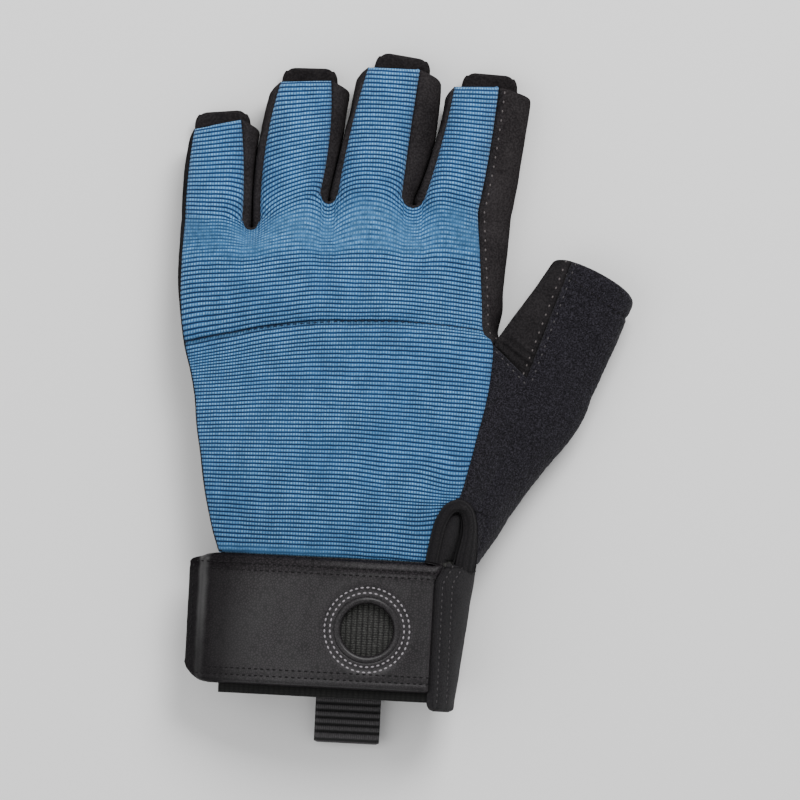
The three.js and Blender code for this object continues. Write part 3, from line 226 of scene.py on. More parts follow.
# Fingers: Y and reach for the left and right edge, X columns at root, middle and tip
FINGERS = (
    dict(name="little", left_y=1.04, right_y=1.039, left_reach=0.69, right_reach=0.78, tab_turn=6.6,
         blue_left=(-0.551, -0.549, -0.537), blue_right=(-0.363, -0.366, -0.383),
         wall_left=(-0.557, -0.558, -0.545), wall_right=(-0.342, -0.343, -0.328)),
    dict(name="ring", left_y=1.041, right_y=1.135, left_reach=1.09, right_reach=0.88, tab_turn=1.5,
         blue_left=(-0.317, -0.313, -0.275), blue_right=(-0.124, -0.104, -0.108),
         wall_left=(-0.332, -0.33, -0.302), wall_right=(-0.105, -0.075, -0.053)),
    dict(name="middle", left_y=1.137, right_y=1.137, left_reach=1, right_reach=0.995, tab_turn=-7,
         blue_left=(-0.079, -0.049, -0.004), blue_right=(0.131, 0.147, 0.167),
         wall_left=(-0.097, -0.06, -0.033), wall_right=(0.16, 0.216, 0.231)),
    dict(name="index", left_y=1.136, right_y=1.1, left_reach=0.885, right_reach=0.985, tab_turn=-2,
         blue_left=(0.192, 0.237, 0.268), blue_right=(0.371, 0.399, 0.416),
         wall_left=(0.17, 0.222, 0.245), wall_right=(0.471, 0.496, 0.514)),
)
FINGER_EDGE_Z = (0.7, 0.72)
FINGER_WALL_Z = 0.38
FINGER_PALM_INSET = 0.018
BLUE_INSET = 0.006
PALM_INSET = 0.03
LEFT_WALL_Z = (0.38, 0.27)
ARCH_POWER = 2.2
SIDE_FLATTENING = 0.35

THUMB_MOUTH = dict(inner=(61.2, 96.4), outer=(86.9, 84.5))
THUMB_SEAM_START = (54.7, 59.3, 18.0)
THUMB_ANGLES = dict(seam=132, outer=0, under=-40, palm=-150, crotch=-200)
THUMB_SEAM_SHARE = 0.41
TERRY_SLOPE = 0.6
THUMB_CORNER = 0.55
THUMB_BEND = (0.3, 0.7)

RECESS = dict(x=0.25, y=0.81, radius_x=0.24, radius_y=0.25, inner=0.95, outer=1.3)
PATCH_OUTLINE = (
    (40.5, 96.0), (33.0, 94.5), (20.0, 88.5), (11.0, 85.0), (6.6, 78.5), (8.8, 70.5),
    (15.0, 66.8), (22.6, 64.5), (30.0, 61.5), (35.0, 65.0), (39.2, 72.0), (41.0, 80.0),
)

CUFF_RING = dict(
    left_x=(-0.386, -0.374), shoulder_x=(0.27, 0.262), side_x=(0.4, 0.352),
    left_z=0.64, left_wall_z=0.4, crown=1.0, shoulder_z=0.9, side_z=0.42,
)
CUFF_BACK_END = 1.66
STRAP_RIGHT_X = 29.3
STRAP_LEAVES = 0.15
STRAP_END_X = -47.9
CLIP_HOLE = (8.8, -22.12)
TAPE_LEFT_X = dict(top=32.7, below=29.8)
TAPE_SLANT_END = 0.17

VENT_BINDING = (
    dict(outer_x=0.273, outer_y=0, inner_x=0.301, inner_y=0),
    dict(outer_x=0.283, outer_y=0.065, inner_x=0.309, inner_y=0.062),
    dict(outer_x=0.297, outer_y=0.128, inner_x=0.322, inner_y=0.118),
    dict(outer_x=0.322, outer_y=0.172, inner_x=0.338, inner_y=0.15),
    dict(outer_x=0.355, outer_y=0.188, inner_x=0.356, inner_y=0.16),
    dict(outer_x=0.384, outer_y=0.171, inner_x=0.368, inner_y=0.15),
    dict(outer_x=0.4, outer_y=0.128, inner_x=0.37, inner_y=0.112),
    dict(outer_x=0.404, outer_y=0.065, inner_x=0.352, inner_y=0.058),
    dict(outer_x=0.404, outer_y=0, inner_x=0.329, inner_y=0),
)

# Folds of the palm at the thumb's crotch, and its quilted lines
FOLD_LINE = ((45.0, 68.5), (55.0, 59.6))
FOLD_PITCH = 2.7
FOLD_HEIGHT = 0.6
FOLD_SPREAD = 0.12
QUILT_WIDTH = 1.5
QUILT_LINES = (
    ((-47, 78.2), (-44.7, 81.8), (-35, 85.1), (-10, 86), (5.5, 85.9)),
    ((-48.1, 68.8), (-36.6, 69.8), (-28.9, 72.3), (-12.7, 74.4), (5.8, 75.3)),
    ((-47.4, 68.8), (-48.1, 61.2)),
    ((-37.1, 68.8), (-38.1, 55.3)),
    ((-27, 56.3), (-9, 62.5), (8.5, 68)),
    ((-23.5, 55.9), (22.6, 55.3)),
    ((-32, 42.7), (9.2, 44.3), (9.5, 42), (1.9, 30), (-8.1, 17.6), (-36, 17.6)),
    ((32.9, 52.9), (27, 41.2), (13.7, 19.6), (1.9, 3.9), (-4.6, 3.0), (-33, 3.5)),
    ((-50.5, 96.8), (-42, 99.2), (-34.5, 98.0)),
    ((-31.0, 99.5), (-20, 104.2), (-11.5, 104.5)),
    ((-7.6, 105.8), (4.0, 107.8), (14.0, 105.5)),
)

# Place of the cuff seam's middle in the frame, read off the palm patch
patch_low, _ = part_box("palm_patch")
patch_corner = np.min(PATCH_OUTLINE, axis=0)
SHIFT = np.array(patch_low) * 1000 - np.array([patch_corner[0], patch_corner[1], 0.0])
METRES = 0.001


def to_frame(points):
    """Points in millimetres from the cuff's seam, as points of the frame in metres."""
    return (np.asarray(points) + SHIFT) * METRES


# Curves and noise


def columns(rows):
    return {name: np.array([row[name] for row in rows], float) for name in rows[0]}


HAND = columns(HAND_ROWS)
THUMB_SIDE = columns(THUMB_SIDE_ROWS)
BINDING = columns(VENT_BINDING)


def curve(values, place):
    """Smooth curve through evenly spaced values, at a place counted in values."""
    values = np.asarray(values, float)
    last = len(values) - 1
    place = np.clip(place, 0, last)
    i = np.minimum(np.floor(place).astype(int), last - 1)
    t = place - i
    if values.ndim > 1:
        t = t[..., None]
    before, start, end, after = (values[np.clip(i + k, 0, last)] for k in (-1, 0, 1, 2))
    square = 2 * before - 5 * start + 4 * end - after
    cube = 3 * start - before - 3 * end + after
    return 0.5 * (2 * start + (end - before) * t + square * t**2 + cube * t**3)


def through(values, t):
    """Curve through three evenly spaced values."""
    a, b, c = values
    return 2 * (t - 0.5) * (t - 1) * a - 4 * t * (t - 1) * b + 2 * t * (t - 0.5) * c


def mix(a, b, t):
    t = np.asarray(t, float)
    if t.ndim and np.ndim(a) > t.ndim:
        t = t[..., None]
    return a + (b - a) * t


def smoothstep(x, low, high):
    t = np.clip((x - low) / (high - low), 0, 1)
    return t * t * (3 - 2 * t)


def bell(distance, width):
    """A soft hump: 1 at no distance and near 0 at twice the width."""
    return np.exp(-((distance / width) ** 2))


def point(x, y, z):
    return np.stack(np.broadcast_arrays(x, y, z), axis=-1).astype(float)


def noise(places, size, seed):
    """Smooth noise from -1 to 1 at places of two or three dimensions, with lumps of a given size."""
    q = np.asarray(places, float) / size
    base = np.floor(q).astype(np.int64)
    t = q - base
    t = t * t * (3 - 2 * t)
    total = 0.0
    dims = q.shape[-1]
    for corner in range(2**dims):
        bits = [(corner >> k) & 1 for k in range(dims)]
        key = np.full(q.shape[:-1], seed * 374761393, np.int64)
        weight = 1.0
        for k, bit in enumerate(bits):
            key = (key ^ (base[..., k] + bit) * (668265263, 2246822519, 3266489917)[k]) * 1274126177 % 2**31
            weight = weight * (t[..., k] if bit else 1 - t[..., k])
        key = (key ^ (key >> 13)) * 1103515245 % 2**31
        total = total + weight * (key / 2**30 - 1)
    return total


# Surface of the glove


def recess_rise(x, y):
    dx = (x / HAND_WIDTH - RECESS["x"]) / RECESS["radius_x"]
    dy = (y / HAND_LENGTH - RECESS["y"]) / RECESS["radius_y"]
    return PATCH_RECESS * (1 - smoothstep(np.hypot(dx, dy), RECESS["inner"], RECESS["outer"]))


def finger_edges(index, t):
    """Blue edge, widest wall and palm edge of a finger's left and right side, at share t of its length."""
    finger = FINGERS[index]
    t = np.asarray(t, float)
    height = mix(FINGER_ROOT_HEIGHT, FINGER_HEIGHT, t)
    edge_z = height * mix(*FINGER_EDGE_Z, t)
    front = PALM_WEB_DROP + FINGER_SLANT * t
    sides = []
    for side, inward in (("left", 1), ("right", -1)):
        y = finger[side + "_y"] * HAND_LENGTH + finger[side + "_reach"] * FINGER_LENGTH * t
        wall_x = through(finger["wall_" + side], t) * HAND_WIDTH
        top = point(through(finger["blue_" + side], t) * HAND_WIDTH, y, edge_z)
        wall = point(wall_x, y - front * 0.45, height * FINGER_WALL_Z)
        palm = point(wall_x + inward * FINGER_PALM_INSET * HAND_WIDTH, y - front, PALM_EDGE_RISE)
        sides.append((top, wall, palm))
    return sides[0], sides[1], height


def beyond_last(edges, root, s):
    """Edges at places s, taken on from the last hand row to the fingers' roots."""
    t = np.clip((s - LAST_ROW) / (ROOT_ROW - LAST_ROW), 0, 1)
    return tuple(mix(p, q + np.zeros_like(p), t) for p, q in zip(edges, root))


def left_edges(s):
    s = np.asarray(s, float)
    place = np.minimum(s, LAST_ROW)
    x = curve(HAND["left_x"], place) * HAND_WIDTH
    y = curve(HAND["left_y"], place) * HAND_LENGTH
    cover = BLUE_COVER * (1 - smoothstep(place, *COVER_ENDS))
    top = point(x + BLUE_INSET * HAND_WIDTH - cover, y, curve(HAND["left_z"], place) * HAND_HEIGHT)
    wall = point(x + cover, y, mix(*LEFT_WALL_Z, place / LAST_ROW) * HAND_HEIGHT)
    palm = point(x + PALM_INSET * HAND_WIDTH, y, PALM_EDGE_RISE)
    return beyond_last((top, wall, palm), finger_edges(0, 0.0)[0], s)


def blue_right(s):
    s = np.asarray(s, float)
    place = np.minimum(s, LAST_ROW)
    top = point(
        curve(HAND["right_x"], place) * HAND_WIDTH,
        curve(HAND["right_y"], place) * HAND_LENGTH,
        curve(HAND["right_z"], place) * HAND_HEIGHT,
    )
    return beyond_last((top,), (finger_edges(3, 0.0)[1][0],), s)[0]


def right_edges(s):
    """Index side of the hand from the crotch on."""
    s = np.asarray(s, float)
    place = np.minimum(s, LAST_ROW)
    top = blue_right(place)
    x = curve(INDEX_SIDE_X, place - CROTCH_ROW) * HAND_WIDTH
    y = top[..., 1] - PALM_SET_BACK
    palm_x = x - PALM_INSET * HAND_WIDTH
    wall = point(x, (top[..., 1] + y) / 2, LEFT_WALL_Z[1] * HAND_HEIGHT)
    palm = point(palm_x, y, PALM_EDGE_RISE + recess_rise(palm_x, y))
    return beyond_last((top, wall, palm), finger_edges(3, 0.0)[1], s)


def palm_split(s):
    """Where the palm divides into hand and thumb."""
    near_crotch = np.clip(s - (CROTCH_ROW - 1), 0, 1)
    x = curve(THUMB_SIDE["split_x"], s) * HAND_WIDTH
    y = curve(HAND["right_y"], s) * HAND_LENGTH - PALM_SET_BACK * near_crotch
    return point(x, y, recess_rise(x, y) + PALM_EDGE_RISE * near_crotch)


def thumb_side(s):
    return point(
        curve(THUMB_SIDE["side_x"], s) * HAND_WIDTH,
        curve(THUMB_SIDE["side_y"], s) * HAND_LENGTH,
        curve(THUMB_SIDE["side_z"], s) * HAND_HEIGHT,
    )


def thumb_under(s, share):
    side = thumb_side(s)
    split = palm_split(s)
    reach = np.hypot(split[..., 0] - side[..., 0], split[..., 1] - side[..., 1])
    place = mix(side, split, share * curve(THUMB_SIDE["under"], s) * HAND_WIDTH / reach)
    place[..., 2] = PALM_EDGE_RISE
    return place


def terry_edge(s):
    top = point(
        curve(THUMB_SIDE["vent_x"], s) * HAND_WIDTH,
        curve(HAND["right_y"], s) * HAND_LENGTH,
        curve(THUMB_SIDE["vent_z"], s) * HAND_HEIGHT,
    )
    return np.where(np.asarray(s)[..., None] >= VENT_TOP_ROW, blue_right(s), top)


def terry_height(s, share):
    top = terry_edge(s)[..., 2]
    side = thumb_side(s)[..., 2]
    rounded = math.sqrt(max(0.0, 1 - share * share))
    return side + (top - side) * (TERRY_SLOPE * (1 - share) + (1 - TERRY_SLOPE) * rounded)


def seam_crossing(s):
    straight = mix(terry_edge(s), thumb_side(s), THUMB_SEAM_SHARE)
    last = np.array([float(CROTCH_ROW)])
    crotch = mix(terry_edge(last), thumb_side(last), THUMB_SEAM_SHARE)[0]
    weight = (s / CROTCH_ROW) ** 3
    start = np.array(THUMB_SEAM_START)
    return point(
        straight[..., 0] + weight * (start[0] - crotch[0]),
        straight[..., 1] + weight * (start[1] - crotch[1]),
        mix(terry_height(s, THUMB_SEAM_SHARE), start[2], weight),
    )


def wall_grid(edges, cells):
    """Side wall from the blue edge over the widest place to the palm's edge, for edges at several rows."""
    top, wall, palm = edges
    half = cells // 2
    lines = []
    for j in range(cells + 1):
        if j <= half:
            t = j / half
            angle = t * math.pi / 2
            arc = point(
                mix(top[..., 0], wall[..., 0], math.sin(angle)),
                mix(top[..., 1], wall[..., 1], t),
                mix(wall[..., 2], top[..., 2], math.cos(angle)),
            )
            lines.append(mix(arc, mix(top, wall, t), SIDE_FLATTENING if 0 < t < 1 else 0.0))
        else:
            t = (j - half) / half
            angle = t * math.pi / 2
            lines.append(point(
                mix(palm[..., 0], wall[..., 0], math.cos(angle)),
                mix(wall[..., 1], palm[..., 1], t),
                mix(wall[..., 2], palm[..., 2], math.sin(angle)),
            ))
    return np.stack(lines, axis=-2)


def web_point(index, level, t):
    a = finger_edges(index, 0.0)[1][level]
    b = finger_edges(index + 1, 0.0)[0][level]
    place = mix(a, b, (1 - math.cos(math.pi * t)) / 2)
    if 0 < t < 1:
        place[1] -= WEB_DEPTH * math.sin(math.pi * t)
    return place


def finger_grid(index, level, t, cells):
    """A finger's back (level 0) or front (level 2): rows at shares t, columns across."""
    left, right, height = finger_edges(index, t)
    u = np.linspace(0, 1, cells + 1)
    grid = left[level][:, None, :] + (right[level] - left[level])[:, None, :] * u[None, :, None]
    spread = np.abs(2 * u - 1)[None, :]
    if level == 0:
        grid[..., 2] += (height[:, None] - grid[..., 2]) * (1 - spread**ARCH_POWER)
    else:
        grid[..., 2] *= spread**4
    return grid


def root_line(level, finger_cells, web_cells):
    points = []
    for index in range(len(FINGERS)):
        points.extend(finger_grid(index, level, np.array([0.0]), finger_cells)[0])
        if index < len(FINGERS) - 1:
            for j in range(1, web_cells):
                points.append(web_point(index, level, j / web_cells))
    return np.array(points)


def shares(line):
    return (line[:, 0] - line[0, 0]) / (line[-1, 0] - line[0, 0])


def back_grid(s, roots):
    u = shares(roots)[None, :]
    place = np.minimum(s, LAST_ROW)
    left = left_edges(place)[0][:, None, :]
    right = blue_right(place)[:, None, :]
    grid = left + (right - left) * u[..., None]
    crown = (curve(HAND["crown"], place) * HAND_HEIGHT)[:, None]
    middle = (left[..., 2] + right[..., 2]) / 2
    grid[..., 1] += 4 * u * (1 - u) * (curve(HAND["bulge"], place) * HAND_LENGTH)[:, None]
    grid[..., 2] += (crown - middle) * (1 - np.abs(2 * u - 1) ** ARCH_POWER)
    t = np.clip((s - LAST_ROW) / (ROOT_ROW - LAST_ROW), 0, 1)[:, None, None]
    return grid + (roots[None] - grid) * t


def palm_grid(s, roots):
    u = shares(roots)[None, :]
    place = np.minimum(s, LAST_ROW)
    left = left_edges(place)[2][:, None, :]
    right = np.where(place[:, None] < CROTCH_ROW, palm_split(np.minimum(place, CROTCH_ROW)),
                     right_edges(np.maximum(place, CROTCH_ROW))[2])[:, None, :]
    grid = left + (right - left) * u[..., None]
    edge_z = grid[..., 2].copy()
    grid[..., 1] += 4 * u * (1 - u) * (curve(HAND["bulge"], place) * HAND_LENGTH)[:, None]
    ends = np.minimum(grid[..., 0] - left[..., 0], right[..., 0] - grid[..., 0])
    edge = np.clip(1 - ends / EDGE_ROUNDING, 0, 1) ** 2
    grid[..., 2] = mix(recess_rise(grid[..., 0], grid[..., 1]), edge_z, edge)
    t = np.clip((s - LAST_ROW) / (ROOT_ROW - LAST_ROW), 0, 1)[:, None, None]
    return grid + (roots[None] - grid) * t


def thumb_palm_grid(s, cells):
    split = palm_split(s)[:, None, :]
    seam = thumb_under(s, 1.0)[:, None, :]
    u = np.linspace(0, 1, cells + 1)[None, :, None]
    grid = split + (seam - split) * u
    edge_z = grid[..., 2].copy()
    ends = np.minimum(u[..., 0], 1 - u[..., 0]) * np.linalg.norm(seam - split, axis=-1)
    edge = np.clip(1 - ends / EDGE_ROUNDING, 0, 1) ** 2
    grid[..., 2] = mix(recess_rise(grid[..., 0], grid[..., 1]), edge_z, edge)
    return grid


def terry_grid(s, seam_cells, back_cells, under_cells):
    edge = terry_edge(s)
    crossing = seam_crossing(s)
    side = thumb_side(s)
    lines = []
    for j in range(seam_cells):
        t = j / seam_cells
        line = mix(edge, crossing, t)
        if j > 0:
            line[..., 2] += (terry_height(s, t * THUMB_SEAM_SHARE) - line[..., 2]) * (1 - s / CROTCH_ROW)
        lines.append(line)
    for j in range(back_cells + 1):
        angle = j / back_cells * math.pi / 2
        height = TERRY_SLOPE * math.cos(angle) + (1 - TERRY_SLOPE) * (1 - math.sin(angle))
        lines.append(point(
            mix(crossing[..., 0], side[..., 0], math.sin(angle)),
            mix(crossing[..., 1], side[..., 1], math.sin(angle)),
            mix(side[..., 2], crossing[..., 2], height),
        ))
    corner = thumb_under(s, THUMB_CORNER)
    bend = point(
        mix(side[..., 0], corner[..., 0], THUMB_BEND[0]),
        mix(side[..., 1], corner[..., 1], THUMB_BEND[0]),
        mix(side[..., 2], corner[..., 2], THUMB_BEND[1]),
    )
    controls = np.stack([side, bend, corner, thumb_under(s, 1.0)])
    for j in range(1, under_cells + 1):
        lines.append(curve(controls, np.float64(j / under_cells * 3) + np.zeros(1))[0])
    return np.stack(lines, axis=-2)


def mouth_point(angle):
    inner = np.array(THUMB_MOUTH["inner"])
    outer = np.array(THUMB_MOUTH["outer"])
    across = (outer - inner) / 2
    middle = inner + across
    along = np.array([-across[1], across[0]]) / np.linalg.norm(across)
    c = math.cos(math.radians(angle))
    s = math.sin(math.radians(angle))
    place = middle + across * c + along * THUMB_SLANT * s
    return np.array([place[0], place[1], PALM_EDGE_RISE + THUMB_HEIGHT / 2 * (1 + s)])


def mouth_arc(start, end, cells):
    return [mouth_point(start + (end - start) * j / cells) for j in range(cells)]


def thumb_rings(seam_cells, back_cells, under_cells, palm_cells, wall_cells):
    """The terry's and the leather's part of the ring at the thumb's base and at its mouth."""
    last = np.array([float(CROTCH_ROW)])
    terry_row = terry_grid(last, seam_cells, back_cells, under_cells)[0]
    palm = thumb_palm_grid(last, palm_cells)[0][::-1]
    crotch = wall_grid(right_edges(last), wall_cells)[0][::-1]
    leather = np.concatenate([palm, crotch[1:], terry_row[1:seam_cells + 1]])
    at = THUMB_ANGLES
    terry_mouth = mouth_arc(at["seam"], at["outer"], back_cells)
    terry_mouth += mouth_arc(at["outer"], at["under"], under_cells)
    leather_mouth = mouth_arc(at["under"], at["palm"], palm_cells)
    leather_mouth += mouth_arc(at["palm"], at["crotch"], wall_cells)
    leather_mouth += mouth_arc(at["crotch"], at["seam"] - 360, seam_cells)
    return (
        (terry_row[seam_cells:], np.array(terry_mouth + [mouth_point(at["under"])])),
        (leather, np.array(leather_mouth + [mouth_point(at["seam"])])),
    )


def between(ring, mouth, rows):
    t = np.linspace(0, 1, rows + 1)[:, None, None]
    return ring[None] + (mouth - ring)[None] * t


# Shells


def weld(points):
    """Index of the shared vertex for each point, and the shared points."""
    keys = np.round(points * 200).astype(np.int64)
    _, first, inverse = np.unique(keys, axis=0, return_index=True, return_inverse=True)
    return inverse.reshape(-1), points[first]


def face_normals(points, quads):
    a, b, c, d = (points[quads[:, k]] for k in range(4))
    return np.cross(c - a, d - b)


def vertex_normals(points, quads):
    normals = np.zeros_like(points)
    faces = face_normals(points, quads)
    for k in range(4):
        np.add.at(normals, quads[:, k], faces)
    return normals / np.maximum(np.linalg.norm(normals, axis=1), 1e-9)[:, None]


class Shell:
    """Grids of points that share their edges: one face of a panel, with its rim and its distances."""

    def __init__(self):
        self.grids = []

    def add(self, grid, uv=None, flip=False, left_out=None):
        """Adds a grid. left_out marks the cells that are holes."""
        if uv is None:
            uv = arc_uv(grid)
        self.grids.append((grid, uv, flip, left_out))
        return self

    def build(self):
        points = np.concatenate([entry[0].reshape(-1, 3) for entry in self.grids])
        uv = np.concatenate([entry[1].reshape(-1, 2) for entry in self.grids])
        quads = []
        start = 0
        for grid, _, flip, left_out in self.grids:
            rows, cols = grid.shape[:2]
            index = np.arange(rows * cols).reshape(rows, cols) + start
            quad = np.stack([index[:-1, :-1], index[:-1, 1:], index[1:, 1:], index[1:, :-1]], axis=-1)
            quad = quad.reshape(-1, 4)
            if left_out is not None:
                quad = quad[~left_out.reshape(-1)]
            quads.append(quad[:, ::-1] if flip else quad)
            start += rows * cols
        quads = np.concatenate(quads)
        shared, points = weld(points)
        self.uv = uv[quads]
        self.quads = shared[quads]
        self.points = points
        self.vertex_uv = np.zeros((len(points), 2))
        self.vertex_uv[shared] = uv
        self.normals = vertex_normals(points, self.quads)
        self.find_rim()
        return self

    def find_rim(self):
        starts = self.quads.reshape(-1)
        ends = np.roll(self.quads, -1, axis=1).reshape(-1)
        size = len(self.points)
        open_edges = ~np.isin(starts * size + ends, ends * size + starts)
        open_edges &= starts != ends
        face = np.repeat(np.arange(len(self.quads)), 4)[open_edges]
        self.rim = np.stack([starts[open_edges], ends[open_edges]], axis=1)
        along = self.points[self.rim[:, 1]] - self.points[self.rim[:, 0]]
        inward = np.cross(face_normals(self.points, self.quads)[face], along)
        inward /= np.maximum(np.linalg.norm(inward, axis=1), 1e-9)[:, None]
        pull = np.zeros_like(self.points)
        np.add.at(pull, self.rim[:, 0], inward)
        np.add.at(pull, self.rim[:, 1], inward)
        length = np.linalg.norm(pull, axis=1)
        self.inward = pull / np.maximum(length, 1e-9)[:, None]

    def rim_distance(self, flat_at=None):
        """Distance of each point to the rim, apart from where flat_at says that the rim stays flat."""
        used = np.unique(self.rim)
        if flat_at is not None:
            used = used[~flat_at(self.points[used])]
        tree = KDTree(len(used))
        for place, index in enumerate(used):
            tree.insert(Vector(self.points[index]), place)
        tree.balance()
        return np.array([tree.find(Vector(p))[2] for p in self.points])


def arc_uv(grid):
    """Distances in millimetres along the middle column and the middle row of a grid."""
    rows, cols = grid.shape[:2]
    across = grid[rows // 2]
    along = grid[:, cols // 2]
    u = np.concatenate([[0], np.cumsum(np.linalg.norm(np.diff(across, axis=0), axis=1))])
    v = np.concatenate([[0], np.cumsum(np.linalg.norm(np.diff(along, axis=0), axis=1))])
    return np.stack(np.meshgrid(u, v), axis=-1)


def make_mesh(name, points, faces, uv=None, smooth=True):
    """A mesh object at the origin with its place in its vertices. uv has a row of pairs for each face."""
    mesh = bpy.data.meshes.new(name)
    faces = [list(map(int, face)) for face in faces]
    mesh.from_pydata(to_frame(points).tolist(), [], faces)
    if uv is not None:
        layer = mesh.uv_layers.new(name="cloth")
        flat = np.concatenate([np.asarray(corners).reshape(-1) for corners in uv])
        layer.data.foreach_set("uv", flat.astype(np.float32))
    mesh.polygons.foreach_set("use_smooth", [smooth] * len(mesh.polygons))
    mesh.update()
    obj = bpy.data.objects.new(name, mesh)
    bpy.context.scene.collection.objects.link(obj)
    return obj


surfaces = {}


def wear(obj, nodes, material):
    """Puts a piece on the frame in place of its CAD nodes."""
    obj.data.materials.clear()
    obj.data.materials.append(material)
    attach(obj, "root")
    if nodes:
        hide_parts(*nodes)
    return obj


def free_edge(points, inward):
    """Where a panel's edge is a hem: at the fingertips and at the thumb's mouth."""
    tips = (points[:, 1] > FINGERTIPS_Y) & (inward[:, 1] < TIP_FACING)
    inner, outer = (np.array(THUMB_MOUTH[key]) for key in ("inner", "outer"))
    across = (outer - inner) / np.linalg.norm(outer - inner)
    beyond = (points[:, :2] - inner) @ np.array([-across[1], across[0]])
    from_inner = points[:, 0] - inner[0]
    at_mouth = (beyond > -THUMB_SLANT - MOUTH_MARGIN["along"]) & (from_inner > -MOUTH_MARGIN["across"])
    return tips | at_mouth


def on_ridge(places, normals):
    """Where two panels meet at an angle, along the hand's outer side: no hem reaches past that seam."""
    return (places[:, 0] < RIDGE_X) & (places[:, 1] > RIDGE_Y) & (normals[:, 0] < RIDGE_FACING)


def sewn(name, outer, inner, wall, detail=None, roll=EDGE_ROLL, roll_width=EDGE_ROLL_WIDTH, flat_at=None):
    """A sewn panel: its outer face with relief and rolled edges, its lip, and a plain inner face."""
    outer.build()
    inner.build()
    depth = np.zeros(len(outer.points))
    if roll:
        near = np.clip(1 - outer.rim_distance(flat_at) / roll_width, 0, 1)
        depth -= roll * near**2
    if detail is not None:
        depth += detail(outer)
    base = outer.points + outer.inward * SEAM_GAP / 2
    face = base + outer.normals * depth[:, None]
    back = inner.points + inner.inward * SEAM_GAP / 2 - inner.normals * wall
    rim = outer.rim
    count = len(face)
    used, place = np.unique(rim, return_inverse=True)
    place = place.reshape(rim.shape)
    ridge = on_ridge(base[used], outer.normals[used])
    hemless = free_edge(base[used], outer.inward[used]) | ridge
    spare = np.where(hemless, 0.0, SEAM_ALLOWANCE)[:, None] * (roll > 0)
    lip = np.where(ridge, -LIP, LIP)[:, None]
    bulge = base[used] - outer.inward[used] * lip - outer.normals[used] * wall * 0.5
    bottom = base[used] - outer.inward[used] * spare - outer.normals[used] * wall
    points = np.concatenate([face, bulge, bottom, back])
    first = count + place
    second = count + len(used) + place
    lips = np.concatenate([
        np.stack([rim[:, 1], rim[:, 0], first[:, 0], first[:, 1]], axis=1),
        np.stack([first[:, 1], first[:, 0], second[:, 0], second[:, 1]], axis=1),
    ])
    lip_uv = np.concatenate([outer.vertex_uv[rim[:, [1, 0, 0, 1]]]] * 2)
    backs = (inner.quads + count + 2 * len(used))[:, ::-1]
    faces = np.concatenate([outer.quads, lips, backs])
    uv = np.concatenate([outer.uv, lip_uv, inner.uv[:, ::-1]])
    surfaces[name] = (face, outer.quads)
    return make_mesh(name, points, faces, uv)


class Drape:
    """Finds places on a finished surface straight above, below or beside given points."""

    def __init__(self, *names):
        self.trees = []
        for name in names:
            points, quads = surfaces[name]
            triangles = np.concatenate([quads[:, [0, 1, 2]], quads[:, [0, 2, 3]]])
            self.trees.append(BVHTree.FromPolygons(points.tolist(), triangles.tolist()))

    def drop(self, place, direction=(0, 0, -1), start=60.0):
        direction = Vector(direction)
        origin = Vector(place) - direction * start
        best = None
        for tree in self.trees:
            hit, normal, _, distance = tree.ray_cast(origin, direction)
            if hit is not None and (best is None or distance < best[2]):
                best = (hit, normal if normal.dot(direction) < 0 else -normal, distance)
        return best


# Cells of the panels: the step of rows on the hand and on the thumb, and columns across each part
FINE = dict(rows=0.22, thumb_rows=0.22, finger=16, web=6, wall=12)
LOOPED = dict(rows=0.5, thumb_rows=0.5, finger=16, web=6, wall=12)
MEDIUM = dict(rows=0.9, thumb_rows=0.45, finger=20, web=8, wall=14)
COARSE = dict(rows=3.0, thumb_rows=3.0, finger=6, web=4, wall=6)

# Widths of the thumb's parts in millimetres and the least number of cells across each
THUMB_SPANS = dict(seam=(10, 2), back=(32, 3), under=(14, 3), palm=(24, 4), rows=(32, 6))

# The knit droops beside the webs: how sharply, and over how much of a finger and of the last rows
WEB_SHARPNESS = 2.5
WEB_FADE = 0.3
DROOP_ROWS = 1.5
WANDER_SIZE = 13.0


def row_places(step, last=ROOT_ROW):
    """Places of rows, about a step apart on the middle of the hand."""
    dense = np.linspace(0, last, 1500)
    mean = row_distance(dense)
    count = max(int(round((mean[-1] - mean[0]) / step)), 2)
    places = np.interp(np.linspace(mean[0], mean[-1], count + 1), mean, dense)
    places[np.argmin(np.abs(places - CROTCH_ROW))] = CROTCH_ROW
    return places


def row_distance(s):
    """Distance of a row from the cuff's seam, along the middle of the hand."""
    place = np.minimum(s, LAST_ROW)
    y = (curve(HAND["left_y"], place) + curve(HAND["right_y"], place)) / 2 * HAND_LENGTH
    y = y + curve(HAND["bulge"], place) * HAND_LENGTH
    t = np.clip((np.asarray(s, float) - LAST_ROW) / (ROOT_ROW - LAST_ROW), 0, 1)
    return y + (ROOT_DISTANCE - y) * t


def finger_places(step):
    return np.linspace(0, 1, max(int(round(FINGER_LENGTH * 0.9 / step)), 3) + 1)


def web_nearness(index, cells):
    """How near each column of a finger is to a web beside it, from 0 to 1."""
    u = np.linspace(-1, 1, cells + 1)
    left = 0 if index == 0 else 1
    right = 0 if index == len(FINGERS) - 1 else 1
    return np.where(u < 0, left, right) * np.abs(u) ** WEB_SHARPNESS


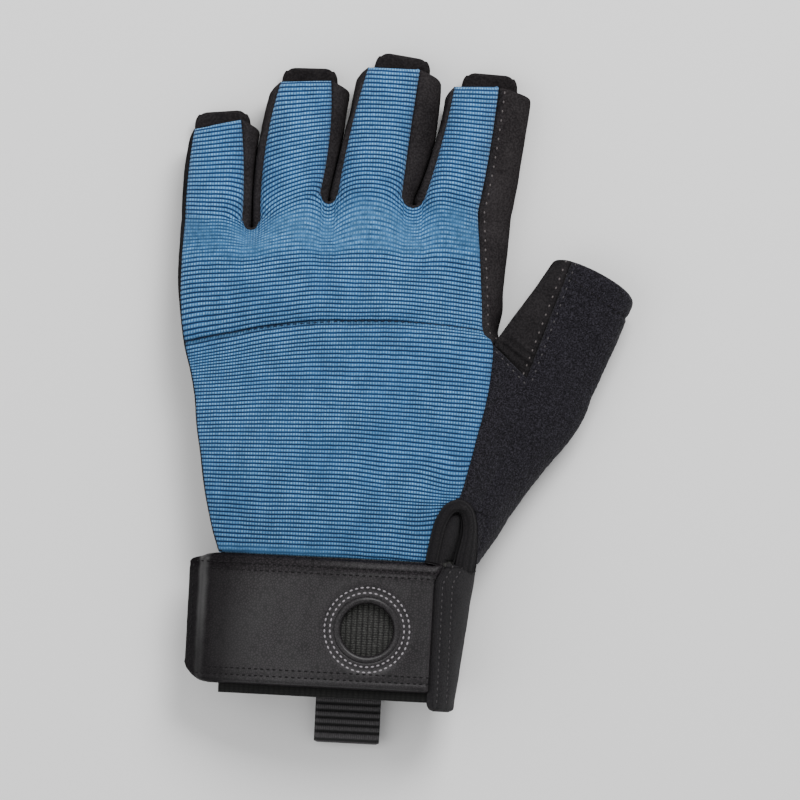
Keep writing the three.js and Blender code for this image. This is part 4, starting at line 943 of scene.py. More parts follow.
def back_shell(cells):
    """The blue back. Its ribs bend down beside the webs between the fingers."""
    roots = root_line(0, cells["finger"], cells["web"])
    s = row_places(cells["rows"])
    droop = []
    for index in range(len(FINGERS)):
        droop.extend(web_nearness(index, cells["finger"]))
        if index < len(FINGERS) - 1:
            droop.extend([1.0] * (cells["web"] - 1))
    droop = np.array(droop) * WEB_DROOP
    shell = Shell()
    grid = back_grid(s, roots)
    weight = smoothstep(s, LAST_ROW - DROOP_ROWS, ROOT_ROW)
    along = row_distance(s)[:, None] + weight[:, None] * droop[None, :]
    reach = np.hypot(grid[..., 0] - PINCH["x"], grid[..., 1] - PINCH["y"])
    along = along + PINCH["strength"] * (grid[..., 1] - PINCH["y"]) * bell(reach, PINCH["reach"])
    wander = noise(np.concatenate(grid[..., :2]), WANDER_SIZE, 9).reshape(reach.shape)
    along = along + wander * RIB_WANDER
    shell.add(grid, np.stack([grid[..., 0], along], axis=-1))
    t = finger_places(cells["rows"])
    for index, finger in enumerate(FINGERS):
        grid = finger_grid(index, 0, t, cells["finger"])
        reach = (finger["left_reach"] + finger["right_reach"]) / 2 * FINGER_LENGTH
        near = web_nearness(index, cells["finger"])[None, :] * np.exp(-t / WEB_FADE)[:, None]
        along = ROOT_DISTANCE + (t * reach)[:, None] + WEB_DROOP * near
        shell.add(grid, np.stack([grid[..., 0], along], axis=-1))
    return shell


def palm_shell(cells):
    roots = root_line(2, cells["finger"], cells["web"])
    s = row_places(cells["rows"])
    t = finger_places(cells["rows"])
    shell = Shell()
    grid = palm_grid(s, roots)
    shell.add(grid, grid[..., :2], True)
    shell.add(wall_grid(left_edges(s), cells["wall"]), None, True)
    shell.add(wall_grid(finger_edges(0, t)[0], cells["wall"]), None, True)
    for index in range(len(FINGERS)):
        grid = finger_grid(index, 2, t, cells["finger"])
        shell.add(grid, grid[..., :2], True)
    lower = lower_places(cells["rows"])
    thumb = thumb_cells(cells)
    grid = thumb_palm_grid(lower, thumb["palm"])
    shell.add(grid, grid[..., :2], True)
    _, (ring, mouth) = thumb_parts(cells)
    grid = between(ring, mouth, thumb["rows"])
    shell.add(grid, None)
    return shell


def lower_places(step):
    s = row_places(step)
    return s[s <= CROTCH_ROW]


def thumb_cells(cells):
    counts = {}
    for part, (span, least) in THUMB_SPANS.items():
        counts[part] = max(int(span / cells["thumb_rows"]), least)
    return counts


def thumb_parts(cells):
    """Rings of the terry and of the leather at the thumb's base and mouth."""
    counts = thumb_cells(cells)
    return thumb_rings(counts["seam"], counts["back"], counts["under"], counts["palm"], cells["wall"])


def thumb_back_shell(cells):
    thumb = thumb_cells(cells)
    s = lower_places(cells["rows"])
    shell = Shell()
    shell.add(terry_grid(s, thumb["seam"], thumb["back"], thumb["under"]))
    (ring, mouth), _ = thumb_parts(cells)
    shell.add(between(ring, mouth, thumb["rows"]))
    return shell


def index_side_shell(cells):
    s = row_places(cells["rows"])
    s = s[s >= CROTCH_ROW]
    t = finger_places(cells["rows"])
    shell = Shell()
    shell.add(wall_grid(right_edges(s), cells["wall"]))
    shell.add(wall_grid(finger_edges(3, t)[1], cells["wall"]))
    return shell


def fourchette_shell(index, cells):
    """The strip between two fingers: down one, round the web, up the other."""
    t = finger_places(cells["rows"])
    down = wall_grid(finger_edges(index, t[::-1])[1], cells["wall"])
    up = wall_grid(finger_edges(index + 1, t)[0], cells["wall"])
    web = []
    for j in range(1, cells["web"]):
        levels = [web_point(index, level, j / cells["web"])[None] for level in range(3)]
        web.append(wall_grid(levels, cells["wall"])[0])
    return Shell().add(np.concatenate([down, np.array(web), up]), None, True)


# Cuff


def ring_point(place, down):
    """X and height on the cuff's ring: 0 to 1 over the back, 1 to 2 over the shoulder to the thumb's side."""
    ring = CUFF_RING
    place = np.asarray(place, float)
    left_x = mix(*ring["left_x"], down) + BLUE_INSET
    shoulder_x = mix(*ring["shoulder_x"], down)
    side_x = mix(*ring["side_x"], down)
    middle = (ring["left_z"] + ring["shoulder_z"]) / 2
    over = np.clip(place, 0, 1)
    arch_x = mix(left_x, shoulder_x, over)
    arch_z = mix(ring["left_z"], ring["shoulder_z"], over)
    arch_z = arch_z + (ring["crown"] - middle) * (1 - np.abs(2 * over - 1) ** ARCH_POWER)
    angle = (np.clip(place, 1, 2) - 1) * math.pi / 2
    side = place > 1
    x = np.where(side, mix(shoulder_x, side_x, np.sin(angle)), arch_x)
    z = np.where(side, mix(ring["side_z"], ring["shoulder_z"], np.cos(angle)), arch_z)
    return x * HAND_WIDTH, z * HAND_HEIGHT


def cuff_line(place, down, offset=0.0):
    """Points over the cuff's back at places on the ring, a distance down the cuff and an offset outwards."""
    place = np.asarray(place, float)
    step = 0.01
    ahead = ring_point(np.minimum(place + step, 2), down)
    behind = ring_point(np.maximum(place - step, 0), down)
    along = np.stack([ahead[0] - behind[0], ahead[1] - behind[1]], axis=-1)
    along /= np.linalg.norm(along, axis=-1)[..., None]
    x, z = ring_point(place, down)
    return point(x - along[..., 1] * offset, -down * CUFF_LENGTH, z + along[..., 0] * offset)


DENSE = np.linspace(0, 2, 400)


def cuff_place(x, down, offset):
    line = cuff_line(DENSE, down, offset)
    return np.interp(x, np.maximum.accumulate(line[:, 0]), DENSE)


def cuff_back_shell(step):
    downs = np.linspace(-CUFF_TUCK / CUFF_LENGTH, 1, int(CUFF_LENGTH / step) + 1)[::-1]
    places = np.linspace(0, CUFF_BACK_END, int(100 / step) + 1)
    grid = np.stack([cuff_line(places, down) for down in downs])
    return Shell().add(grid)


def cuff_elastic_shell(step):
    lift = WEBBING_WALL + SEAM_GAP
    ring = CUFF_RING
    rows = []
    for down in np.linspace(-CUFF_TUCK, ELASTIC_LENGTH, int(ELASTIC_LENGTH / step) + 1)[::-1] / CUFF_LENGTH:
        near = cuff_line(np.linspace(CUFF_BACK_END, 2, max(int(8 / step), 2) + 1), down)
        side = near[-1]
        left_x = mix(*ring["left_x"], down) * HAND_WIDTH
        angles = np.radians(np.linspace(0, 90, max(int(14 / step), 3) + 1))[1:]
        x = side[0] - CUFF_CORNER * (1 - np.cos(angles))
        corner = point(x, side[1], mix(side[2], lift, np.sin(angles)))
        top = cuff_line(np.array([0.0]), down)
        wall = point(left_x, side[1], ring["left_wall_z"] * HAND_HEIGHT)[None]
        bottom = point(left_x + CUFF_CORNER, side[1], lift)[None]
        t = np.linspace(0, 1, max(int(70 / step), 5) + 1)[1:, None]
        under = corner[-1] + (bottom - corner[-1]) * t
        rising = wall_grid((top, wall, bottom), max(int(22 / step) // 2 * 2, 4))[0][::-1]
        rows.append(np.concatenate([near, corner, under, rising[1:]]))
    return Shell().add(np.array(rows))


def corner_inset(distance, radius):
    reach = np.clip(radius - distance, 0, radius)
    return np.where(distance >= radius, 0.0, radius - np.sqrt(np.maximum(radius**2 - reach**2, 0)) * 0.98)


def strap_height(x, down, offset=SEAM_GAP + STRAP_WALL):
    """Height of the strap's outer face, whose left end stands free of the cuff."""
    line = cuff_line(DENSE, down, offset)
    over = np.interp(x, np.maximum.accumulate(line[:, 0]), line[:, 2])
    last = cuff_line(np.array([STRAP_LEAVES, STRAP_LEAVES + 0.01]), down, offset)
    slope = (last[1, 2] - last[0, 2]) / (last[1, 0] - last[0, 0])
    away = last[0, 0] - x
    t = np.clip(away / (last[0, 0] - STRAP_END_X), 0, 1)
    free = last[0, 2] - slope * away - STRAP_DROOP * t * t
    return np.where(away > 0, free, over)


def anchored(low, high, middle, step):
    """Even places between two ends, one of them at a given middle."""
    inside = middle + step * np.arange(-int((middle - low) / step), int((high - middle) / step) + 1)
    inside = inside[(inside > low + step / 3) & (inside < high - step / 3)]
    return np.concatenate([[low], inside, [high]])


def strap_shell(step):
    """The strap as a grid, whose square cells round the hole are drawn out to a circle."""
    x = anchored(STRAP_END_X, STRAP_RIGHT_X, CLIP_HOLE[0], step)
    low_y = -(STRAP_TOP + STRAP_WIDTH)
    y = anchored(low_y, -STRAP_TOP, CLIP_HOLE[1], step)
    t = (y - low_y) / STRAP_WIDTH
    inset = x - STRAP_END_X
    low = low_y + corner_inset(inset, STRAP_BOTTOM_CORNER)
    cover = STRAP_COVER * smoothstep(inset, 1, 9)
    high = -STRAP_TOP - corner_inset(inset, STRAP_TOP_CORNER)
    grid_x = np.broadcast_to(x[None, :], (len(y), len(x)))
    grid_y = low[None, :] + (high - low)[None, :] * t[:, None]
    grid_y += cover[None, :] * smoothstep(t, 0.75, 1)[:, None]
    slant = 1 - smoothstep(-y / CUFF_LENGTH, 0, TAPE_SLANT_END)
    further = (TAPE_LEFT_X["top"] - TAPE_LEFT_X["below"]) * slant[:, None]
    grid_x = grid_x + further * np.clip((x - 22) / (STRAP_RIGHT_X - 22), 0, 1)[None, :]
    opening = CLIP_HOLE_RADIUS + RIM_WIDTH / 2
    square = round(opening * 0.86 / step) * step
    field = opening * 1.55
    dx = grid_x - CLIP_HOLE[0]
    dy = grid_y - CLIP_HOLE[1]
    reach = np.maximum(np.abs(dx), np.abs(dy))
    away = np.maximum(np.hypot(dx, dy), 1e-6)
    ratio = away / np.maximum(reach, 1e-6)
    stretch = (field * ratio - opening) / ((field - square) * ratio)
    scale = (opening + (away - square * ratio) * stretch) / away
    grid_x = np.where(reach < field, CLIP_HOLE[0] + dx * scale, grid_x)
    grid_y = np.where(reach < field, CLIP_HOLE[1] + dy * scale, grid_y)
    inside = reach < square + step * 0.01
    left_out = inside[:-1, :-1] & inside[:-1, 1:] & inside[1:, :-1] & inside[1:, 1:]
    height = np.stack([strap_height(grid_x[i], -y[i] / CUFF_LENGTH) for i in range(len(y))])
    height -= 0.6 * np.clip(1 + (grid_y + STRAP_TOP) / 3.0, 0, 1) ** 2
    grid = point(grid_x, grid_y, height)
    return Shell().add(grid, grid[..., :2], left_out=left_out)


def hole_rim(rings, sections):
    radius = CLIP_HOLE_RADIUS + RIM_WIDTH / 2
    turn = np.linspace(0, 2 * math.pi, rings, endpoint=False)[:, None]
    strap_top = Drape("strap")
    outside = radius + RIM_WIDTH / 2 + 0.4
    heights = []
    for angle in turn[:, 0]:
        place = (CLIP_HOLE[0] + outside * math.cos(angle), CLIP_HOLE[1] + outside * math.sin(angle), 0)
        heights.append(strap_top.drop(place)[0][2])
    spread = np.array([np.roll(heights, shift) for shift in range(-3, 4)])
    top = spread.mean(axis=0)[:, None] + RIM_STAND
    angle = np.linspace(0, 2 * math.pi, sections, endpoint=False)[None, :]
    reach = radius + RIM_WIDTH / 2 * np.cos(angle)
    grid = point(CLIP_HOLE[0] + reach * np.cos(turn), CLIP_HOLE[1] + reach * np.sin(turn),
                 top - RIM_HEIGHT / 2 * (1 - np.sin(angle)))
    index = np.arange(rings * sections).reshape(rings, sections)
    after = np.roll(index, -1, axis=0)
    quads = np.stack([index, after, np.roll(after, -1, axis=1), np.roll(index, -1, axis=1)], axis=-1)
    uv = grid[..., :2].reshape(-1, 2)
    quads = quads.reshape(-1, 4)
    return make_mesh("clip_hole_rim", grid.reshape(-1, 3), quads, uv[quads])


def tape_shell(step):
    offset = SEAM_GAP + TAPE_WALL
    end = (CUFF_LENGTH + TAPE_OVERHANG) / CUFF_LENGTH
    downs = np.linspace(end, -CUFF_TUCK / CUFF_LENGTH, int(CUFF_LENGTH / step) + 1)
    rows = []
    for down in downs:
        slant = 1 - smoothstep(down, 0, TAPE_SLANT_END)
        left_x = mix(TAPE_LEFT_X["below"], TAPE_LEFT_X["top"], slant)
        near_end = np.clip(1 - (end - down) / 0.055, 0, 1)
        inset = 0.16 * (1 - math.sqrt(1 - near_end**2))
        level = min(down, 1.0)
        start = float(cuff_place(left_x, level, offset))
        shares_across = np.linspace(inset, 1 - inset / 2, max(int(12 / step), 4) + 1)
        line = cuff_line(mix(start, 2.0, shares_across), level, offset)
        line[:, 1] = -down * CUFF_LENGTH
        half_way = line[:, 2].max() / 2
        upper_side = np.clip((line[:, 2] - half_way) / half_way, 0, 1)
        line[:, 2] -= TAPE_END_DROP * upper_side * smoothstep(-down * CUFF_LENGTH, -0.8, 0.8)
        rows.append(line)
    return Shell().add(np.array(rows))


def vent_height(x, y):
    share = y / HAND_LENGTH
    rows = np.arange(VENT_TOP_ROW + 1)
    s = np.interp(share, HAND["right_y"][: VENT_TOP_ROW + 1], rows)
    blue = blue_right(s)
    terry = terry_edge(np.minimum(s, VENT_TOP_ROW - 0.001))
    t = np.clip((x - blue[..., 0]) / np.maximum(terry[..., 0] - blue[..., 0], 1), 0, 1)
    return mix(blue[..., 2], terry[..., 2], t**1.6)


def vent_binding_shell(step):
    places = np.linspace(0, len(VENT_BINDING) - 1, int(56 / step) + 1)
    t = np.linspace(0, 1, max(int(5 / step), 4) + 1)[None, :]
    kept = mix(*LEG_SHARES, smoothstep(places, 3.0, 6.0))[:, None]
    side = {name: curve(values, places)[:, None] for name, values in BINDING.items()}
    x = mix(side["outer_x"], side["inner_x"], t * kept) * HAND_WIDTH
    y = mix(side["outer_y"], side["inner_y"], t * kept) * HAND_LENGTH
    y = np.maximum(y, 0)
    right_leg = smoothstep(x, *RIGHT_LEG_X)
    y = y - BINDING_TUCK * (1 - smoothstep(y, 0, 4)) * right_leg
    drop = BINDING_END_DROP * (1 - smoothstep(y, -BINDING_TUCK, 0.4)) * right_leg
    grid = point(x, y, vent_height(x, y) + BINDING_STAND * np.sin(math.pi * t) - drop)
    return Shell().add(grid, None, True)


def vent_gusset_shell(step):
    """The cloth folded into the vent: a soft lump beside the back and a groove along the other leg."""
    depth = BINDING_WALL + SEAM_GAP * 2
    y = np.linspace(-GUSSET_TUCK, GUSSET_TOP, max(int(16 / step), 5) + 1)[:, None]
    s = np.interp(y / HAND_LENGTH, HAND["right_y"][: VENT_TOP_ROW + 1], np.arange(VENT_TOP_ROW + 1))
    left = blue_right(s)[..., 0] + GUSSET_INSET
    right = terry_edge(np.minimum(s, VENT_TOP_ROW - 0.001))[..., 0] - TERRY_WALL - GUSSET_INSET
    right = np.maximum(right, left + 1)
    t = np.linspace(0, 1, max(int(12 / step), 8) + 1)[None, :]
    x = mix(left, right, t)
    groove = mix(*GUSSET_GROOVE, np.maximum(y, 0) / GUSSET_TOP)
    lump = np.sin(math.pi * np.clip(t / groove, 0, 1)) ** 0.6
    lump = lump * (1 - smoothstep(y, GUSSET_TOP - 3, GUSSET_TOP))
    lump *= smoothstep(y, -GUSSET_TUCK, -0.3)
    return Shell().add(point(x, y, vent_height(x, y) - depth + GUSSET_LUMP * lump))


# Webbing, tapes, tabs and patch


def folded_path(start_y, end_y, low_z, gap, wall, return_y):
    """Middle line of a fold of two layers, as Y and Z: out along the lower one and back on the upper one."""
    radius = (gap + wall) / 2
    angle = np.linspace(0, math.pi, 13)
    bend_y = end_y + wall / 2 + radius - radius * np.sin(angle)
    bend_z = low_z + radius - radius * np.cos(angle)
    lower_y = np.linspace(start_y, bend_y[0], max(int(abs(start_y - bend_y[0]) / 1.0), 2))[:-1]
    upper_y = np.linspace(bend_y[-1], return_y, max(int(abs(return_y - bend_y[-1]) / 1.0), 2))[1:]
    y = np.concatenate([lower_y, bend_y, upper_y])
    z = np.concatenate([np.full(len(lower_y), low_z), bend_z, np.full(len(upper_y), low_z + 2 * radius)])
    return np.stack([y, z], axis=1)


def resample(path, step):
    length = np.concatenate([[0], np.cumsum(np.linalg.norm(np.diff(path, axis=0), axis=1))])
    places = np.linspace(0, length[-1], int(length[-1] / step) + 1)
    return np.stack([np.interp(places, length, path[:, k]) for k in range(path.shape[1])], axis=1), places


def ribbon(name, path, wall, low_x, width, step, relief=None):
    """A closed ribbon along a path in the YZ plane, with rounded edges and relief on both faces."""
    line, places = resample(path, step)
    along = np.gradient(line, axis=0)
    along /= np.linalg.norm(along, axis=1)[:, None]
    across = np.stack([-along[:, 1], along[:, 0]], axis=1)
    cells = max(int(width / 1.0), 8)
    x = np.linspace(0, width, cells + 1)
    from_side = np.minimum(x, width - x)
    half = wall / 2 * np.sqrt(np.clip(1 - (np.maximum(0.45 - from_side, 0) / 0.5) ** 2, 0.1, 1))
    faces = []
    for sign in (1, -1):
        rise = half[None, :] + (relief(places, x) if relief is not None else 0)
        offset = across[:, None, :] * (sign * rise)[..., None]
        flat = line[:, None, :] + offset
        faces.append(point(low_x + x[None, :] + 0 * flat[..., 0], flat[..., 0], flat[..., 1]))
    loop = np.concatenate([faces[0], faces[1][:, ::-1]], axis=1)
    u = np.concatenate([x, x[::-1]])
    uv_grid = np.stack(np.meshgrid(u, places), axis=-1)
    rows, cols = loop.shape[:2]
    index = np.arange(rows * cols).reshape(rows, cols)
    after = np.roll(index, -1, axis=1)
    quads = np.stack([index[:-1], index[1:], after[1:], after[:-1]], axis=-1).reshape(-1, 4)
    caps = []
    for row, turn in ((0, 1), (rows - 1, -1)):
        top = index[row, :cells + 1]
        bottom = index[row, cells + 1:][::-1]
        cap = np.stack([top[:-1], top[1:], bottom[1:], bottom[:-1]], axis=1)
        caps.append(cap[:, ::turn])
    quads = np.concatenate([quads] + caps)
    flat_uv = uv_grid.reshape(-1, 2)
    surfaces[name] = (loop.reshape(-1, 3), quads)
    return make_mesh(name, loop.reshape(-1, 3), quads, flat_uv[quads])


def tab_shape(length):
    """Half widths of a pull tab at distances from its tucked end."""
    distance = np.linspace(0, 1, 34)
    distance = TAB_TUCK + length - (TAB_TUCK + length) * (1 - distance) ** 1.25
    half = np.interp(distance - TAB_TUCK, [-TAB_TUCK, 1, 3, length], [
        TAB_BASE_WIDTH / 2, TAB_BASE_WIDTH / 2, TAB_WIDTH / 2, TAB_WIDTH / 2 - 0.9])
    near = np.clip((distance - (TAB_TUCK + length - TAB_CORNER)) / TAB_CORNER, 0, 1)
    half = half - TAB_CORNER * 0.85 * (1 - np.sqrt(1 - near**2))
    return distance - TAB_TUCK, half


def tab_shell(index, cells):
    finger = FINGERS[index]
    left, right, _ = finger_edges(index, 1.0)
    stand = (left[0][1] + right[0][1]) / 2 + TAB_STAND
    hem = (left[2][1] + right[2][1]) / 2
    y, half = tab_shape(stand - hem)
    u = np.linspace(-1, 1, cells + 1)[None, :]
    x = half[:, None] * u
    y = np.broadcast_to(y[:, None], x.shape)
    height = np.full(x.shape, TAB_WALL)
    turn = math.radians(finger["tab_turn"])
    lifted_y = y * math.cos(TAB_RISE) - height * math.sin(TAB_RISE)
    lifted_z = y * math.sin(TAB_RISE) + height * math.cos(TAB_RISE)
    middle_x = (left[1][0] + right[1][0]) / 2
    floor = LEATHER_WALL + SEAM_GAP + math.sin(TAB_RISE) * TAB_TUCK + TAB_SEAT
    grid = point(
        middle_x + x * math.cos(turn) - lifted_y * math.sin(turn),
        hem + x * math.sin(turn) + lifted_y * math.cos(turn),
        floor + lifted_z,
    )
    return Shell().add(grid, np.stack([x, y], axis=-1))


def patch_shell(cells):
    """The palm patch as a fan of rings from its middle to its outline, seen from below."""
    outline = np.array(PATCH_OUTLINE)
    closed = np.concatenate([outline[-1:], outline, outline[:2]])
    places = np.linspace(1, len(outline) + 1, cells * 12 + 1)[:-1]
    edge = curve(closed, places)
    middle = outline.mean(axis=0)
    edge = np.concatenate([edge, edge[:1]])
    rings = np.array([0.02, 0.2, 0.4, 0.6, 0.8, 0.9, 0.97, 1.0])
    flat = middle + (edge[None] - middle) * rings[:, None, None]
    grid = point(flat[..., 0], flat[..., 1], 0.0)
    return Shell().add(grid, grid[..., :2])


# Materials


def add_node(tree, kind, inputs=None, **settings):
    """A shader node with its settings; an input is a value or another node's output."""
    made = tree.nodes.new(kind)
    for key, value in settings.items():
        setattr(made, key, value)
    for key, value in (inputs or {}).items():
        socket = made.inputs[key]
        if isinstance(value, bpy.types.NodeSocket):
            tree.links.new(value, socket)
        else:
            socket.default_value = value
    return made


def calculate(tree, operation, first, second=0.0, clamp=False):
    made = add_node(tree, "ShaderNodeMath", {0: first, 1: second}, operation=operation, use_clamp=clamp)
    return made.outputs[0]


def blend_colours(tree, share, first, second, how="MIX"):
    made = add_node(tree, "ShaderNodeMix", data_type="RGBA", blend_type=how)
    for key, value in (("Factor", share), ("A", first), ("B", second)):
        socket = next(s for s in made.inputs if s.name == key and s.enabled)
        if isinstance(value, bpy.types.NodeSocket):
            tree.links.new(value, socket)
        else:
            socket.default_value = value
    return next(s for s in made.outputs if s.enabled)


def new_group(name, inputs, outputs):
    tree = bpy.data.node_groups.new(name, "ShaderNodeTree")
    for label, default in inputs:
        kind = "NodeSocketVector" if default is None else "NodeSocketFloat"
        socket = tree.interface.new_socket(label, in_out="INPUT", socket_type=kind)
        if default is not None:
            socket.default_value = default
    for label in outputs:
        tree.interface.new_socket(label, in_out="OUTPUT", socket_type="NodeSocketFloat")
    return tree, tree.nodes.new("NodeGroupInput"), tree.nodes.new("NodeGroupOutput")


def ridges_group():
    """Ridges across a distance: 1 on top of a ridge and 0 in the groove."""
    inputs = [("Distance", 0.0), ("Pitch", 1.0), ("Sharpness", 1.0)]
    tree, entry, leave = new_group("ridges", inputs, ["Ridge"])
    turns = calculate(tree, "DIVIDE", entry.outputs["Distance"], entry.outputs["Pitch"])
    wave = calculate(tree, "ABSOLUTE", calculate(tree, "COSINE", calculate(tree, "MULTIPLY", turns, math.pi)))
    tree.links.new(calculate(tree, "POWER", wave, entry.outputs["Sharpness"]), leave.inputs["Ridge"])
    return tree


def cloth_group():
    """Distances over the cloth, moved a little by noise so that threads aren't ruled lines."""
    inputs = [("Wander", 0.1), ("Wander size", 0.3)]
    tree, entry, leave = new_group("cloth place", inputs, ["Across", "Along"])
    place = add_node(tree, "ShaderNodeUVMap", uv_map="cloth")
    parts = add_node(tree, "ShaderNodeSeparateXYZ", {"Vector": place.outputs["UV"]})
    cloud = add_node(tree, "ShaderNodeTexNoise", {
        "Vector": place.outputs["UV"], "Scale": entry.outputs["Wander size"],
        "Detail": 2.0, "Roughness": 0.5})
    shift = add_node(tree, "ShaderNodeSeparateColor", {"Color": cloud.outputs["Color"]})
    for axis, channel, label in (("X", "Red", "Across"), ("Y", "Green", "Along")):
        moved = calculate(tree, "MULTIPLY", calculate(tree, "SUBTRACT", shift.outputs[channel], 0.5),
                          entry.outputs["Wander"])
        tree.links.new(calculate(tree, "ADD", parts.outputs[axis], moved), leave.inputs[label])
    return tree


def specks_group():
    """Specks of two sizes, from 0 to 1, at places of the object in metres."""
    inputs = [("Fine", 1500.0), ("Coarse", 120.0)]
    tree, entry, leave = new_group("specks", inputs, ["Fine specks", "Coarse specks"])
    place = add_node(tree, "ShaderNodeTexCoord")
    for label, source in (("Fine specks", "Fine"), ("Coarse specks", "Coarse")):
        cloud = add_node(tree, "ShaderNodeTexNoise", {
            "Vector": place.outputs["Object"], "Scale": entry.outputs[source],
            "Detail": 3.0, "Roughness": 0.6})
        tree.links.new(cloud.outputs["Fac"], leave.inputs[label])
    return tree


def grain_group():
    """Leather grain: closed cells with soft borders, and fine pores."""
    tree, entry, leave = new_group("grain", [("Cells", 900.0)], ["Height"])
    place = add_node(tree, "ShaderNodeTexCoord")
    cells = add_node(tree, "ShaderNodeTexVoronoi", {
        "Vector": place.outputs["Object"], "Scale": entry.outputs["Cells"], "Randomness": 1.0},
        feature="DISTANCE_TO_EDGE")
    fine = add_node(tree, "ShaderNodeTexNoise", {
        "Vector": place.outputs["Object"], "Scale": 2600.0, "Detail": 2.0})
    tops = add_node(tree, "ShaderNodeMapRange", {
        "Value": cells.outputs["Distance"], "From Min": 0.0, "From Max": 0.22},
        interpolation_type="SMOOTHSTEP")
    total = calculate(tree, "ADD", calculate(tree, "MULTIPLY", tops.outputs["Result"], 0.7),
                      calculate(tree, "MULTIPLY", fine.outputs["Fac"], 0.5))
    tree.links.new(total, leave.inputs["Height"])
    return tree


RIDGES = ridges_group()
CLOTH = cloth_group()
SPECKS = specks_group()
GRAIN = grain_group()


class Finish:
    """A material with one Principled shader, filled in step by step."""

    def __init__(self, name, roughness, specular=0.3, sheen=0.0):
        self.material = bpy.data.materials.new(name)
        self.material.use_nodes = True
        self.tree = self.material.node_tree
        self.shader = self.tree.nodes["Principled BSDF"]
        self.shader.inputs["Roughness"].default_value = roughness
        self.shader.inputs["Specular IOR Level"].default_value = specular
        self.shader.inputs["Sheen Weight"].default_value = sheen
        self.shader.inputs["Sheen Roughness"].default_value = 0.5

    def group(self, tree, **inputs):
        made = add_node(self.tree, "ShaderNodeGroup", node_tree=tree)
        for label, value in inputs.items():
            socket = made.inputs[label.replace("_", " ").capitalize()]
            if isinstance(value, bpy.types.NodeSocket):
                self.tree.links.new(value, socket)
            else:
                socket.default_value = value
        return made.outputs

    def math(self, operation, first, second=0.0, clamp=False):
        return calculate(self.tree, operation, first, second, clamp)

    def times(self, first, *others):
        for other in others:
            first = self.math("MULTIPLY", first, other)
        return first

    def plus(self, first, second):
        return self.math("ADD", first, second)

    def minus(self, first, second):
        return self.math("SUBTRACT", first, second)

    def mix(self, share, first, second, how="MIX"):
        return blend_colours(self.tree, share, first, second, how)

    def colour(self, socket):
        self.tree.links.new(socket, self.shader.inputs["Base Color"])

    def bump(self, height, distance, strength=1.0):
        made = add_node(self.tree, "ShaderNodeBump", {
            "Height": height, "Distance": distance * METRES, "Strength": strength})
        self.tree.links.new(made.outputs["Normal"], self.shader.inputs["Normal"])

    def coat(self, weight, roughness, ior):
        self.tree.links.new(weight, self.shader.inputs["Coat Weight"])
        self.shader.inputs["Coat Roughness"].default_value = roughness
        self.shader.inputs["Coat IOR"].default_value = ior

    def ramp(self, value, low, high, to_low=0.0, to_high=1.0):
        made = add_node(self.tree, "ShaderNodeMapRange", {
            "Value": value, "From Min": low, "From Max": high, "To Min": to_low, "To Max": to_high},
            interpolation_type="SMOOTHSTEP")
        return made.outputs["Result"]


# Blues of the knit, as red, green and blue from 0 to 255
NAVY = (12, 36, 70)
MID_BLUE = (50, 98, 144)
LIGHT_BLUE = (122, 172, 212)
CALM_BLUE = (72, 122, 168)


def srgb(red, green, blue):
    """A colour given as 0 to 255 in sRGB, for a shader."""
    linear = [((c / 255 + 0.055) / 1.055) ** 2.4 if c > 10 else c / 255 / 12.92 for c in (red, green, blue)]
    return (*linear, 1.0)


